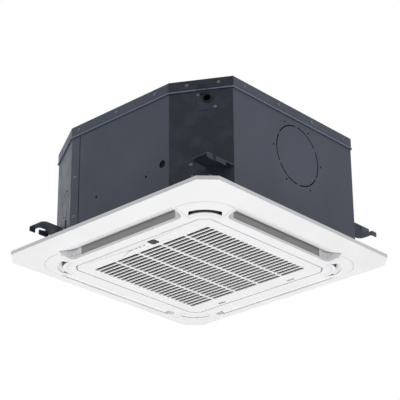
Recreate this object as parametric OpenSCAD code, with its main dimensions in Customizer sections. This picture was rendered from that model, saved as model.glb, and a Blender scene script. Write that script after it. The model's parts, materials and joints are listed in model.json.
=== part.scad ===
// Compact four way ceiling cassette air conditioner: a sheet metal casing that hangs above the
// ceiling on four bolts, and a white panel below it that blows air from its four sides.
// Z is up. The origin is the middle of the four hanger seats, at the underside of the brackets.
// The panel's indicator side faces -Y.

/* [Casing] */
// Width of the casing over its left and right walls
casing_w = 566; // [550:1:582]
// Depth of the casing over its front and rear walls
casing_d = 566; // [550:1:582]
// Height of the casing walls
casing_h = 262; // [250:1:300]
// Length that each corner cut takes from the front and rear walls
corner_cut_x = 125; // [105:1:135]
// Length that each corner cut takes from the side walls
corner_cut_y = 72; // [64:1:84]
// Thickness of the sheet metal
sheet_t = 1.2; // [0.8:0.1:1.6]
// Height of the top cover's turned down flange
flange_h = 25; // [20:1:32]
// Radius of the bead along the flange's lower edge
bead_r = 2; // [1.2:0.1:2.6]
// Distance of the lap seam from the middle of the front wall
seam_x = 130; // [124:1:136]

/* [Duct knockout] */
// Radius of the round duct knockout in the right wall
knockout_r = 73; // [60:1:76]
// Width of the cut that marks the knockout
knockout_cut = 3.2; // [2:0.1:4]
// Bolt circle of the duct collar's screw holes
collar_pcd = 168; // [164:1:172]
// Radius of the duct collar's screw holes
collar_hole_r = 2.5; // [1.5:0.1:3.5]
// Height of the knockout's centre over the hanger seats
knockout_z = 102; // [98:1:104]
// Radius of the small fresh air knockout in the left front corner
fresh_air_r = 32; // [26:1:36]

/* [Hangers] */
// Spacing of the hanger bolts from left to right
hanger_pitch_x = 545; // [537:1:547]
// Spacing of the hanger bolts from front to rear
hanger_pitch_y = 523; // [515:1:529]
// Width of the open slot that takes a hanger bolt
hanger_slot = 12; // [10:0.5:13]
// Thickness of the bracket plate
bracket_t = 2.5; // [2:0.1:4]
// Height of the hanger seats over the casing's lower edge
hanger_rise = 43; // [41:1:52]

/* [Panel] */
// Side of the square panel
panel_w = 650; // [646:1:680]
// Leg of the cut at each corner of the panel
panel_corner = 34; // [24:1:44]
// Distance from the casing's middle to the panel's middle, towards the front
panel_shift = 16; // [12:1:17]
// Height of the panel's outer rim
rim_h = 9; // [7:0.5:12]
// Depth of the shoulder below the rim
shoulder_drop = 5; // [3:0.5:8]
// Depth of the centre face below the rim
face_drop = 22; // [20:0.5:23]
// Wall of the panel frame
panel_t = 3; // [2.6:0.1:3.2]
// Height of the casing's lower edge over the ceiling
ceiling_gap = 29; // [28:1:34]

/* [Outlets] */
// Length of each air outlet
outlet_l = 354; // [340:1:356]
// Distance of an outlet's inner edge from the panel's middle
outlet_in = 240; // [239:0.5:241]
// Distance of an outlet's outer edge from the panel's middle
outlet_out = 280.5; // [280:0.5:281]
// Radius of an outlet's inner corners
outlet_r = 16; // [10:1:20]

/* [Louvers] */
// Radius of the round nose that a louver turns about
nose_r = 6; // [5.6:0.1:6.2]
// Thickness of the louver blade
blade_t = 2.4; // [1.8:0.1:3]
// Angle that the louvers stand open at rest
louver_lift = 43; // [30:1:60]
// Radius of a louver's pins
louver_pin_r = 2; // [1.5:0.1:2.2]

/* [Intake grille] */
// Side of the square intake grille
grille_w = 417; // [412:1:420]
// Leg of the cut at each corner of the grille
grille_corner = 17; // [12:1:24]
// Gap round the closed grille
grille_gap = 2.5; // [2.5:0.1:3]
// Thickness of the grille's face
grille_t = 3; // [2.5:0.1:3.2]
// Number of slot columns
slot_columns = 5; // [3:1:5]
// Number of slot rows
slot_rows = 24; // [12:1:24]
// Spacing of the slot columns
slot_pitch_x = 72.4; // [71:0.1:73]
// Spacing of the slot rows
slot_pitch_y = 14; // [13.6:0.1:14.2]
// Length of a slot
slot_l = 68.8; // [60:0.2:69]
// Height of a slot
slot_h = 9.8; // [8:0.2:11]

/* [Coil] */
// Distance of the heat exchanger from the casing's side walls
coil_in = 55; // [54:1:58]
// Thickness of the heat exchanger
coil_t = 38; // [34:1:38]
// Radius of the heat exchanger's bends, outside
coil_bend_r = 70; // [60:1:90]
// Distance from the middle to where the heat exchanger ends
coil_end = 120; // [100:1:124]

/* [Fan] */
// Gap between the fan wheel and the heat exchanger
fan_gap = 18; // [14:1:22]
// Number of fan blades
fan_blades = 7; // [5:1:9]
// Height of the back plate of the fan over the hanger seats
fan_back_z = 150; // [140:1:156]
// Distance of the bell mouth's throat inside the fan wheel's rim
throat_in = 32; // [30:1:42]
// Radius of the fan motor
motor_r = 52; // [44:1:54]
// Radius of the motor shaft
shaft_r = 5; // [4:0.5:7]

/* [Drainage] */
// Depth of the drain pan
pan_h = 46; // [42:1:48]
// Depth of the water trough
trough_h = 20; // [14:1:24]
// Outer radius of the drain spigot
drain_r = 13; // [10:0.5:14]
// Radius of the pump's motor
pump_r = 19; // [16:0.5:22]

/* [Pipes] */
// Outer radius of the gas pipe
gas_r = 6.35; // [4.75:0.05:7.9]
// Outer radius of the liquid pipe
liquid_r = 3.2; // [3.1:0.05:4.8]
// Reach of the pipe ends beyond the left wall
pipe_reach = 46; // [40:1:60]

/* [Controls] */
// Length of the control box
control_l = 280; // [240:1:300]
// Width of the control box
control_w = 54; // [46:1:56]
// Height of the control box
control_h = 33; // [28:1:34]

/* [Hidden] */
$fn = 48;
// facets of the curves inside a hull
hull_fn = 32;
// overrun of every cut past the face that it leaves
over = 1;
// clearance between pieces that only lie beside each other
clear = 0.3;
// radial clearance of a pin or shaft that turns in its hole
run_fit = 0.06;
// radial clearance of a screw in its hole
screw_fit = 0.2;
steel = "#3d4148";
white = "#eef0f2";
grey = "#97999b";
black = "#1c1d20";
zinc = "#9a9fa6";
foam = "#d9dbdd";
copper = "#b8733f";

// heights that follow from the sizes above
base_z = -hanger_rise;
roof_z = base_z + casing_h;
ceiling_z = base_z - ceiling_gap;
rim_z = ceiling_z - rim_h;
face_z = rim_z - face_drop;
shoulder_z = rim_z - shoulder_drop;
half_x = casing_w/2;
half_y = casing_d/2;
pan_z = base_z + sheet_t;
pan_top_z = pan_z + pan_h;
top_liner_t = 8;
coil_half = half_x - coil_in;
coil_z = pan_top_z - trough_h;
coil_h = roof_z - top_liner_t - coil_z;
tube_rows = 9;
tube_pitch = coil_h/tube_rows;
function row_z(k) = coil_z + (k + 0.5)*tube_pitch;

// radii round the fan, from the heat exchanger inwards and from the motor outwards
fan_r = coil_half - coil_t - fan_gap;
throat_r = fan_r - throat_in;
mouth_flare = 20;
pan_gap = 2;
pan_hole_r = throat_r + mouth_flare + pan_gap;
ear_out = 20;
leg_out = 8;
ear_r = motor_r + ear_out;
leg_r = ear_r + leg_out;
plate_disc_r = leg_r + leg_out;
top_liner_r = plate_disc_r + leg_out;

// the cut corner's line, and how far the walls run when the outline is drawn in by t
cut_len = sqrt(corner_cut_x*corner_cut_x + corner_cut_y*corner_cut_y);
cut_k = corner_cut_y*half_x + corner_cut_x*(half_y - corner_cut_y);
function front_half(t) = (cut_k - t*cut_len - corner_cut_x*(half_y - t))/corner_cut_y;
function side_half(t) = (cut_k - t*cut_len - corner_cut_y*(half_x - t))/corner_cut_x;
function mirrored(p) = [for (s = [[1, 1], [-1, 1], [-1, -1], [1, -1]])
    for (q = (s[0]*s[1] > 0 ? p : [p[1], p[0]])) [s[0]*q[0], s[1]*q[1]]];
function casing_outline(t) = mirrored([[half_x - t, side_half(t)], [front_half(t), half_y - t]]);
module casing_shape(t) polygon(casing_outline(t));

// the eight walls, counted from the front wall towards the right
cut_dir = atan2(corner_cut_x, corner_cut_y);
wall_dirs = [-90, -cut_dir, 0, cut_dir, 90, 180 - cut_dir, 180, 180 + cut_dir];
wall_mids = [[0, -half_y], [half_x - corner_cut_x/2, -half_y + corner_cut_y/2], [half_x, 0],
    [half_x - corner_cut_x/2, half_y - corner_cut_y/2], [0, half_y],
    [-half_x + corner_cut_x/2, half_y - corner_cut_y/2], [-half_x, 0],
    [-half_x + corner_cut_x/2, -half_y + corner_cut_y/2]];
wall_halves = [front_half(0), cut_len/2, side_half(0), cut_len/2];
// on a wall, x runs to the right as seen from outside, y is up and z points out
module on_wall(i) translate(wall_mids[i]) rotate([0, 0, wall_dirs[i] + 90]) rotate([90, 0, 0]) children();
module rod_hole(r, deep) translate([0, 0, -deep]) cylinder(r = r, h = deep + over);
module ring(r_out, r_in, h) difference() {
    cylinder(r = r_out, h = h);
    translate([0, 0, -over]) cylinder(r = r_in, h = h + 2*over);
}
module block(size) translate([-size[0]/2, -size[1]/2, 0]) cube(size);
module slab(x0, x1, y0, y1, z0, z1) translate([x0, y0, z0]) cube([x1 - x0, y1 - y0, z1 - z0]);
module round_square(half, r) {
    square([2*half, 2*(half - r)], center = true);
    square([2*(half - r), 2*half], center = true);
    for (sx = [-1, 1]) for (sy = [-1, 1]) translate([sx*(half - r), sy*(half - r)]) circle(r = r);
}
module cut_square(half, leg) polygon(mirrored([[half, half - leg], [half - leg, half]]));

// screws: a round head on a plain shank, drawn with the head's seat at z = 0
screw_r = 1.9;
head_r = 4;
head_h = 2;
socket_r = 1.3;
module screw(deep) {
    difference() {
        cylinder(r1 = head_r, r2 = head_r - head_h/3, h = head_h);
        translate([0, 0, head_h/2]) cylinder(r = socket_r, h = head_h);
    }
    translate([0, 0, -deep]) cylinder(r = screw_r, h = deep + clear);
}

// places of the cover's flange screws, as shares of half the wall
cover_gap = 0.3;
flange_out = cover_gap + sheet_t;
flange_screw_z = roof_z - flange_h*0.42;
bead_shares = [[1, 0.45], [0.8, 0.8], [0.45, 1]];
front_screw_shares = [-0.85, -0.05, 0.72];
side_screw_shares = [-0.82, -0.26, 0.3, 0.86];
corner_screw_shares = [-0.45, 0.55];
screw_shares = [front_screw_shares, corner_screw_shares, side_screw_shares, corner_screw_shares];
screw_deep = 8;
module at_cover_screws() {
    for (i = [0 : 7]) for (s = screw_shares[i % 4]) on_wall(i)
        translate([s*wall_halves[i % 4], flange_screw_z, 0]) children();
}

// places of the screws and holes in the walls: wall, share of half the wall, height
seam_screw_z = [88, -12];
seam_screw_in = 14;
seam_screw_x = seam_x + seam_screw_in;
bracket_screw_z = -18;
bracket_screw_x = 20;
corner_screw_z = 13;
corner_screw_x = 24;
bolt_z = 12;
module at_casing_screws() {
    for (i = [0, 4]) for (z = seam_screw_z) on_wall(i) translate([-seam_screw_x, z, 0]) children();
    for (i = [1, 3, 5, 7]) on_wall(i) {
        translate([-corner_screw_x, corner_screw_z, 0]) children();
        translate([corner_screw_x, bolt_z, 0]) children();
    }
}
module at_bracket_screws() for (i = [1, 3, 5, 7]) on_wall(i)
    for (s = [-1, 1]) translate([s*bracket_screw_x, bracket_screw_z, bracket_t]) children();

// sheet metal casing
lap = 22;
seam_gap = 3;
base_flange = 12;
module casing_side(cut) difference() {
    union() {
        translate([0, 0, base_z]) linear_extrude(casing_h) difference() {
            casing_shape(0);
            casing_shape(sheet_t);
        }
        translate([0, 0, base_z]) linear_extrude(sheet_t) difference() {
            casing_shape(sheet_t/2);
            casing_shape(base_flange);
        }
    }
    // everything past the two seams belongs to the other sheet
    rotate([0, 0, cut]) {
        slab(-casing_w, seam_x + seam_gap/2, 0, casing_d, base_z - over, roof_z + over);
        slab(-casing_w, seam_gap/2 - seam_x, -casing_d, over, base_z - over, roof_z + over);
    }
    at_bosses() translate([0, 0, base_z - over]) cylinder(r = screw_r + screw_fit, h = sheet_t + 2*over);
}
module tongue() translate([-seam_x - lap, -half_y + sheet_t, base_z + sheet_t])
    cube([2*lap, sheet_t, casing_h - sheet_t]);
module wall_screw_holes() {
    at_cover_screws() rod_hole(screw_r + screw_fit, screw_deep + over);
    at_casing_screws() rod_hole(screw_r + screw_fit, screw_deep + over);
    at_bracket_screws() rod_hole(screw_r + screw_fit, screw_deep + over);
}
hole_r = 3;
cable_hole_r = 9;
front_holes = [[-71, 15], [87, 13]];
front_large_hole = [137, 27];
front_dots = [[94, 21], [-37, 131]];
dot_r = 1.2;
bridge_w = 7;
knockout_y = 8;
knockout_bridges = 6;
fresh_air_bridges = 8;
module ring_cut(r, w, bridges, turn) difference() {
    circle(r = r + w/2);
    circle(r = r - w/2);
    for (k = [0 : bridges - 1]) rotate(turn + k*360/bridges)
        translate([0, -bridge_w/2]) square([r + knockout_cut, bridge_w]);
}
module through_wall() translate([0, 0, -3*sheet_t]) linear_extrude(3*sheet_t + over) children();
module casing_front() color(steel) difference() {
    union() {
        casing_side(0);
        tongue();
    }
    wall_screw_holes();
    on_wall(0) {
        for (p = front_holes) translate(p) rod_hole(hole_r, 2*sheet_t);
        for (p = front_dots) translate(p) rod_hole(dot_r, 2*sheet_t);
        translate(front_large_hole) rod_hole(cable_hole_r, 2*sheet_t);
    }
    on_wall(2) translate([knockout_y, knockout_z, 0]) {
        through_wall() ring_cut(knockout_r, knockout_cut, knockout_bridges, 180/knockout_bridges);
        for (k = [1 : knockout_bridges]) rotate(k*360/knockout_bridges) translate([collar_pcd/2, 0, 0])
            rod_hole(collar_hole_r, 2*sheet_t);
    }
    on_wall(1) {
        translate([plate_x, plate_z, 0]) rod_hole(grommet_neck_r + clear, 2*sheet_t);
        for (p = plate_screws) translate(p) rod_hole(screw_r + screw_fit, 2*sheet_t);
    }
}
fresh_air_x = 20;
fresh_air_z = 46;
fresh_air_cut = 2.4;
module casing_rear() color(steel) difference() {
    union() {
        casing_side(180);
        rotate([0, 0, 180]) tongue();
    }
    wall_screw_holes();
    on_wall(7) translate([fresh_air_x, fresh_air_z, 0]) through_wall()
        ring_cut(fresh_air_r, fresh_air_cut, fresh_air_bridges, 0);
    on_wall(6) {
        for (y = [gas_z, liquid_z]) translate([-pipe_y, y, 0]) rod_hole(pipe_hole_r, 2*sheet_t);
        translate([-drain_y, drain_z, 0]) rod_hole(drain_neck_r + clear, 2*sheet_t);
        for (p = pipe_plate_screws) translate(p) rod_hole(screw_r + screw_fit, 2*sheet_t);
    }
}
module top_cover() color(steel) difference() {
    union() {
        translate([0, 0, roof_z]) linear_extrude(sheet_t) casing_shape(-flange_out);
        translate([0, 0, roof_z - flange_h]) linear_extrude(flange_h + sheet_t/2) difference() {
            casing_shape(-flange_out);
            casing_shape(-cover_gap);
        }
        // the bead has an eight sided section
        for (s = bead_shares) translate([0, 0, roof_z - flange_h - bead_r*s[1]])
            linear_extrude(2*bead_r*s[1]) difference() {
                casing_shape(-flange_out - bead_r*s[0]);
                casing_shape(-cover_gap);
            }
    }
    at_cover_screws() translate([0, 0, flange_out]) rod_hole(screw_r + screw_fit, 2*flange_out);
    for (k = [0 : 3]) rotate([0, 0, 90*k + 45]) translate([leg_r, 0, roof_z - over])
        cylinder(r = screw_r + screw_fit, h = sheet_t + 2*over);
}
module cover_screws() color(zinc) at_cover_screws() translate([0, 0, flange_out])
    screw(screw_deep/2 + flange_out);
module casing_screws() color(zinc) {
    at_casing_screws() screw(screw_deep);
    at_bracket_screws() screw(screw_deep);
    on_wall(1) for (p = plate_screws) translate([p[0], p[1], plate_t]) screw(screw_deep);
    on_wall(6) for (p = pipe_plate_screws) translate([p[0], p[1], plate_t]) screw(screw_deep);
    for (k = [0 : 3]) rotate([0, 0, 90*k + 45]) translate([leg_r, 0, roof_z + sheet_t]) screw(screw_deep);
}

// foam that lines the casing
liner_t = 9;
liner_in = 2*sheet_t + clear;
module casing_liner() color(foam) difference() {
    translate([0, 0, pan_top_z]) linear_extrude(roof_z - top_liner_t - pan_top_z) difference() {
        casing_shape(liner_in);
        casing_shape(liner_in + liner_t);
    }
    wall_pocket = head_r + screw_deep;
    at_cover_screws() rod_hole(head_r, wall_pocket);
    at_casing_screws() rod_hole(head_r, wall_pocket);
    on_wall(1) {
        translate([plate_x, plate_z, 0]) rod_hole(grommet_r + clear, liner_t + wall_pocket);
        for (p = plate_screws) translate(p) rod_hole(head_r, wall_pocket);
    }
    on_wall(6) {
        for (p = pipe_plate_screws) translate(p) rod_hole(head_r, wall_pocket);
        translate([-pipe_y, (gas_z + liquid_z)/2, 0]) translate([0, 0, -liner_t - wall_pocket])
            block([2*pipe_hole_r, liquid_z - gas_z + 2*pipe_hole_r, liner_t + wall_pocket + over]);
        translate([-drain_y, drain_z, 0]) rod_hole(drain_flange_r + clear, liner_t + wall_pocket);
    }
}
module top_liner() color(foam) translate([0, 0, roof_z - top_liner_t]) difference() {
    linear_extrude(top_liner_t) casing_shape(liner_in);
    translate([0, 0, -over]) cylinder(r = top_liner_r, h = top_liner_t + 2*over);
    at_cover_screws() translate([0, -roof_z + top_liner_t, 0]) rod_hole(head_r, head_r + screw_deep);
}

// hanger brackets, drawn for the corner at +X +Y and mirrored to the others
bracket_end = 16.5;
bracket_w = 50;
bracket_edge = 10.5;
bracket_r = 13;
bracket_lip = 9;
bracket_tab_h = 32;
bracket_tab_w = 62;
hang_x = hanger_pitch_x/2;
hang_y = hanger_pitch_y/2;
slot_run = 12;
module hanger_bracket() {
    edge_x = hang_x + bracket_edge;
    end_y = hang_y + slot_run + hanger_slot/2 + bracket_end;
    entry_y = hang_y + slot_run;
    difference() {
        union() {
            difference() {
                union() {
                    slab(edge_x - bracket_w, edge_x, 0, end_y - bracket_r, 0, bracket_t);
                    slab(edge_x - bracket_w + bracket_r, edge_x, 0, end_y, 0, bracket_t);
                    translate([edge_x - bracket_w + bracket_r, end_y - bracket_r, 0])
                        cylinder(r = bracket_r, h = bracket_t);
                    slab(edge_x - bracket_t, edge_x, hang_y - 2*slot_run, end_y, -bracket_lip, bracket_t);
                }
                translate([0, 0, -bracket_lip - over]) linear_extrude(bracket_lip + bracket_t + 2*over)
                    casing_shape(-bracket_t/2);
            }
            on_wall(3) translate([0, -bracket_tab_h, 0]) slab(-bracket_tab_w/2, bracket_tab_w/2, 0,
                bracket_tab_h + bracket_t, 0, bracket_t);
        }
        translate([hang_x, hang_y, -bracket_lip - over]) {
            cylinder(r = hanger_slot/2, h = bracket_lip + bracket_t + 2*over);
            translate([0, slot_run, 0]) cylinder(r = hanger_slot/2, h = bracket_lip + bracket_t + 2*over);
        }
        slab(hang_x - hanger_slot/2, hang_x + hanger_slot/2, hang_y, entry_y, -bracket_lip - over, bracket_t + over);
        slab(hang_x, edge_x + over, entry_y - hanger_slot/2, entry_y + hanger_slot/2,
            -bracket_lip - over, bracket_t + over);
    }
}
module hanger_brackets() color(steel) difference() {
    for (sx = [0, 1]) for (sy = [0, 1]) mirror([sx, 0, 0]) mirror([0, sy, 0]) hanger_bracket();
    at_bracket_screws() rod_hole(screw_r + screw_fit, 2*bracket_t);
}

// cable entry in the right front corner
plate_t = 1.2;
plate_size = [48, 48];
plate_x = 14;
plate_z = 172;
plate_mid = [plate_x, roof_z - flange_h - bead_r - clear - plate_size[1]/2];
plate_screw_shares = [[-0.84, 0.6], [0.72, -0.8]];
function spots(mid, size, shares) = [for (s = shares) [mid[0] + s[0]*size[0]/2, mid[1] + s[1]*size[1]/2]];
plate_screws = spots(plate_mid, plate_size, plate_screw_shares);
grommet_r = 12;
grommet_neck_r = 9.5;
grommet_bore_r = 8;
grommet_lip = 2.5;
tie_r = 11;
tie_wire_r = 0.9;
tie_anchor = [5, 4];
tie_side = 10.5;
module cable_plate() color(steel) on_wall(1) difference() {
    translate(plate_mid) block([plate_size[0], plate_size[1], plate_t]);
    translate([plate_x, plate_z, plate_t]) rod_hole(grommet_neck_r + clear, 2*plate_t);
    for (p = plate_screws) translate([p[0], p[1], plate_t]) rod_hole(screw_r + screw_fit, 2*plate_t);
}
module cable_grommet() color(black) on_wall(1) translate([plate_x, plate_z, 0]) difference() {
    union() {
        translate([0, 0, plate_t]) cylinder(r = grommet_r, h = grommet_lip);
        translate([0, 0, -sheet_t]) cylinder(r = grommet_neck_r, h = plate_t + sheet_t + grommet_lip/2);
        translate([0, 0, -sheet_t - grommet_lip]) cylinder(r = grommet_r, h = grommet_lip);
    }
    translate([0, 0, -over - 2*grommet_lip]) cylinder(r = grommet_bore_r, h = 4*grommet_lip + plate_t + sheet_t);
}
tie_off = flange_out + bead_r + head_h + tie_wire_r;
module cable_tie() color(black) on_wall(1) translate([plate_x - tie_side, plate_z + 2*tie_r, 0]) {
    translate([0, 0, tie_off]) rotate_extrude() translate([tie_r, 0]) circle(r = tie_wire_r);
    rotate(-10) translate([0, -tie_r, plate_t]) block([tie_anchor[0], tie_anchor[1], tie_off]);
}

// refrigerant pipes and drain on the left wall, towards the rear
pipe_y = 150;
gas_z = row_z(3);
liquid_z = row_z(5);
pipe_hole_r = 14;
pipe_plate_size = [44, 112];
pipe_plate_shares = [[-0.75, -0.88], [0.75, 0.88]];
pipe_plate_screws = spots([-pipe_y, (gas_z + liquid_z)/2], pipe_plate_size, pipe_plate_shares);
fitting_l = 14;
nut_wall = 3.5;
nut_l = 20;
header_x = coil_t/2 - coil_half;
header_end = 8;
module pipe_plate() color(zinc) on_wall(6) difference() {
    translate([-pipe_y, (gas_z + liquid_z)/2, 0]) block([pipe_plate_size[0], pipe_plate_size[1], plate_t]);
    translate([-pipe_y, gas_z, plate_t]) rod_hole(gas_r + clear, 2*plate_t);
    translate([-pipe_y, liquid_z, plate_t]) rod_hole(liquid_r + clear, 2*plate_t);
    for (p = pipe_plate_screws) translate([p[0], p[1], plate_t]) rod_hole(screw_r + screw_fit, 2*plate_t);
}
module stub(r, z, from_x) translate([0, pipe_y, z]) {
    translate([from_x, 0, 0]) rotate([0, -90, 0]) cylinder(r = r, h = half_x + from_x + pipe_reach - nut_l);
    translate([-half_x - pipe_reach + nut_l + fitting_l/2, 0, 0]) rotate([0, -90, 0])
        cylinder(r = r + nut_wall/2, h = fitting_l);
}
module to_coil(r, x, z) translate([x, pipe_y, z]) rotate([90, 0, 0]) cylinder(r = r, h = pipe_y - coil_end);
module gas_pipe() color(copper) {
    stub(gas_r, gas_z, header_x);
    translate([header_x, pipe_y, row_z(2) - header_end])
        cylinder(r = gas_r*1.2, h = row_z(4) - row_z(2) + 2*header_end);
    for (k = [2, 4]) to_coil(gas_r/2, header_x, row_z(k));
}
module liquid_pipe() color(copper) {
    stub(liquid_r, liquid_z, header_x);
    translate([header_x, pipe_y, liquid_z]) sphere(r = liquid_r*1.6);
    to_coil(liquid_r, header_x, liquid_z);
}
module flare_nut(r, z) translate([-half_x - pipe_reach + nut_l, pipe_y, z]) rotate([0, -90, 0]) difference() {
    cylinder(r = r + 2*nut_wall, h = nut_l, $fn = 6);
    translate([0, 0, -over]) cylinder(r = r + nut_wall/2 + clear, h = fitting_l/2 + over + clear);
    cylinder(r = r + screw_fit/2, h = nut_l + over);
}
module flare_nuts() color("#c9a24b") {
    flare_nut(gas_r, gas_z);
    flare_nut(liquid_r, liquid_z);
}
drain_y = 188;
drain_z = 132;
drain_wall = 2;
drain_reach = 34;
drain_flange_r = 19;
drain_neck_r = drain_r + 1;
drain_neck = 2;
drain_flange_t = 2.5;
drain_stub = 16;
module drain_port() color(black) translate([-half_x, drain_y, drain_z]) rotate([0, -90, 0]) difference() {
    union() {
        translate([0, 0, -drain_stub]) cylinder(r = drain_r, h = drain_stub + drain_reach);
        translate([0, 0, -drain_stub]) cylinder(r = drain_neck_r, h = drain_stub + drain_neck);
        translate([0, 0, -sheet_t - drain_flange_t]) cylinder(r = drain_flange_r, h = drain_flange_t);
    }
    translate([0, 0, -drain_stub - over]) cylinder(r = drain_r - drain_wall, h = drain_stub + drain_reach + 2*over);
}

// heat exchanger: a finned block bent round three corners, open at the left rear corner
end_plate_t = 1.5;
tube_r = 4;
module coil_ring(half, t, h) linear_extrude(h) difference() {
    round_square(half, coil_bend_r);
    round_square(half - t, coil_bend_r - t);
}
module coil_opening(wide, from_z, h) translate([-coil_half - over, wide, from_z])
    cube([coil_half - wide + over, coil_half - wide + over, h]);
module coil_fins() color("#b9bec4") difference() {
    translate([0, 0, coil_z]) coil_ring(coil_half, coil_t, coil_h);
    coil_opening(coil_end, coil_z - over, coil_h + 2*over);
}
module left_end() translate([-coil_half, coil_end, 0]) children();
module rear_end() translate([-coil_end, coil_half - coil_t, 0]) rotate([0, 0, 90]) children();
module end_plate() difference() {
    translate([0, 0, coil_z]) cube([coil_t, end_plate_t, coil_h]);
    for (k = [0 : tube_rows - 1]) translate([coil_t/2, -over, row_z(k)])
        rotate([-90, 0, 0]) cylinder(r = tube_r + clear, h = end_plate_t + 2*over);
}
module coil_end_plates() color(zinc) {
    left_end() end_plate();
    rear_end() end_plate();
}
bend_reach = 8;
module coil_tubes() color(copper) rear_end() {
    for (k = [0 : tube_rows - 1]) translate([coil_t/2, 0, row_z(k)])
        rotate([-90, 0, 0]) cylinder(r = tube_r, h = bend_reach);
    for (k = [0 : 2 : tube_rows - 2]) translate([coil_t/2, bend_reach, (row_z(k) + row_z(k + 1))/2])
        rotate([0, 90, 0]) rotate_extrude(angle = 180) translate([tube_pitch/2, 0]) circle(r = tube_r);
}

// drain pan: foam tray under the coil, with a round intake hole and four air passages
pan_inset = liner_in;
trough_gap = 3;
trough_wall = 5;
passage_in = coil_half + trough_gap + trough_wall;
passage_l = 2*(front_half(base_flange) - trough_wall);
side_ins = [half_y, half_x, half_y, half_x];
function passage_out(k) = side_ins[k] - base_flange;
plug_r = 9;
plug_at = [-186, 214];
sump = 132;
module drain_pan() color(foam) difference() {
    translate([0, 0, pan_z]) linear_extrude(pan_h) casing_shape(pan_inset);
    translate([0, 0, pan_z - over]) cylinder(r = pan_hole_r, h = pan_h + 2*over);
    for (k = [0 : 3]) rotate([0, 0, 90*k]) slab(-passage_l/2, passage_l/2, -passage_out(k), -passage_in,
        pan_z - over, pan_top_z + over);
    at_bracket_screws() rod_hole(head_r, head_r + screw_deep);
    at_casing_screws() rod_hole(head_r, head_r + screw_deep);
    at_bosses() translate([0, 0, pan_z - over]) cylinder(r = head_r, h = screw_deep);
    translate([0, 0, pan_top_z - trough_h]) linear_extrude(trough_h + over) difference() {
        round_square(coil_half + trough_gap, coil_bend_r + trough_gap);
        round_square(coil_half - coil_t - trough_gap, coil_bend_r - coil_t - trough_gap);
    }
    intersection() {
        slab(-half_x, -sump, sump, half_y, pan_top_z - trough_h, pan_top_z + over);
        translate([0, 0, pan_z]) linear_extrude(2*pan_h) difference() {
            casing_shape(liner_in + liner_t + trough_wall);
            circle(r = pan_hole_r + trough_wall);
        }
    }
    translate([plug_at[0], plug_at[1], pan_z - over]) cylinder(r = plug_r + clear, h = pan_h);
}
plug_head_r = 12;
plug_head_h = 3;
module drain_plug() color(black) translate([plug_at[0], plug_at[1], pan_z]) {
    translate([0, 0, -sheet_t - plug_head_h]) cylinder(r = plug_head_r, h = plug_head_h);
    translate([0, 0, -sheet_t - clear]) cylinder(r = plug_r, h = pan_h - trough_h + sheet_t + clear);
}

// drain pump and float switch in the free corner
pump_x = -172;
pump_y = drain_y;
pump_gap = 6;
pump_foot_z = coil_z + pump_gap;
pump_chamber_z = 24;
pump_chamber_r = 17;
pump_wall = 2;
pump_arm_z = pump_chamber_z + pump_wall;
pump_motor_h = 38;
pump_shaft_r = 2;
pump_seat = 9;
pump_inlet_r = 8;
pump_outlet_l = 12;
paddle_r = 12;
paddle_h = 10;
paddle_t = 1.6;
stilt_r = 3;
hose_wall = 2.3;
hose_r = drain_r - drain_wall - clear;
hose_turn_r = 18;
pump_outlet_r = hose_r - hose_wall - clear;
pump_outlet_z = pump_chamber_z - pump_outlet_r - pump_wall;
module drain_pump() color(white) translate([pump_x, pump_y, 0]) difference() {
    union() {
        translate([0, 0, pump_foot_z]) cylinder(r = pump_chamber_r, h = pump_chamber_z - pump_foot_z + over);
        translate([0, 0, pump_chamber_z]) cylinder(r = pump_r, h = pump_motor_h);
        translate([0, 0, pump_outlet_z]) rotate([0, -90, 0])
            cylinder(r = pump_outlet_r, h = pump_chamber_r + pump_wall + pump_outlet_l);
        for (a = [20, 140, 260]) rotate([0, 0, a]) {
            translate([0, -stilt_r/2, pump_arm_z]) cube([pump_r + 2*stilt_r, stilt_r, pump_wall]);
            translate([pump_r + 2*stilt_r, 0, coil_z])
                cylinder(r = stilt_r, h = pump_arm_z + 2*pump_wall - coil_z);
        }
    }
    translate([0, 0, pump_foot_z + pump_wall])
        cylinder(r = pump_chamber_r - pump_wall, h = pump_chamber_z - pump_foot_z - pump_wall);
    translate([0, 0, pump_foot_z - over]) cylinder(r = pump_inlet_r, h = pump_wall + 2*over);
    translate([0, 0, pump_chamber_z - over]) cylinder(r = pump_shaft_r + run_fit, h = pump_seat + over);
    translate([-pump_chamber_r/2, 0, pump_outlet_z]) rotate([0, -90, 0])
        cylinder(r = pump_outlet_r - pump_wall, h = 2*pump_chamber_r + pump_outlet_l);
}
module pump_impeller() color(grey) translate([pump_x, pump_y, pump_foot_z + pump_wall + clear]) {
    cylinder(r = pump_shaft_r, h = pump_chamber_z + pump_seat - over - pump_foot_z - pump_wall - clear);
    for (a = [0, 90]) rotate([0, 0, a]) block([2*paddle_r, paddle_t, paddle_h]);
}
// the hose leaves the pump towards -X, rises, and turns towards -X again into the port
hose_x = pump_x - pump_chamber_r - 2*pump_wall;
hose_flat = 8;
rise_x = hose_x - hose_flat - hose_turn_r;
module hose_body(r) translate([0, pump_y, 0]) {
    translate([hose_x, 0, pump_outlet_z]) rotate([0, -90, 0]) cylinder(r = r, h = hose_flat);
    translate([rise_x + hose_turn_r, 0, pump_outlet_z + hose_turn_r]) rotate([-90, 0, 0])
        rotate([0, 0, 90]) rotate_extrude(angle = 90) translate([hose_turn_r, 0]) circle(r = r);
    translate([rise_x, 0, pump_outlet_z + hose_turn_r])
        cylinder(r = r, h = drain_z - pump_outlet_z - 2*hose_turn_r);
    translate([rise_x - hose_turn_r, 0, drain_z - hose_turn_r]) rotate([90, 0, 0])
        rotate_extrude(angle = 90) translate([hose_turn_r, 0]) circle(r = r);
    translate([rise_x - hose_turn_r, 0, drain_z]) rotate([0, -90, 0])
        cylinder(r = r, h = half_x - drain_stub + drain_overlap + rise_x - hose_turn_r);
}
drain_overlap = 6;
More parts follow.
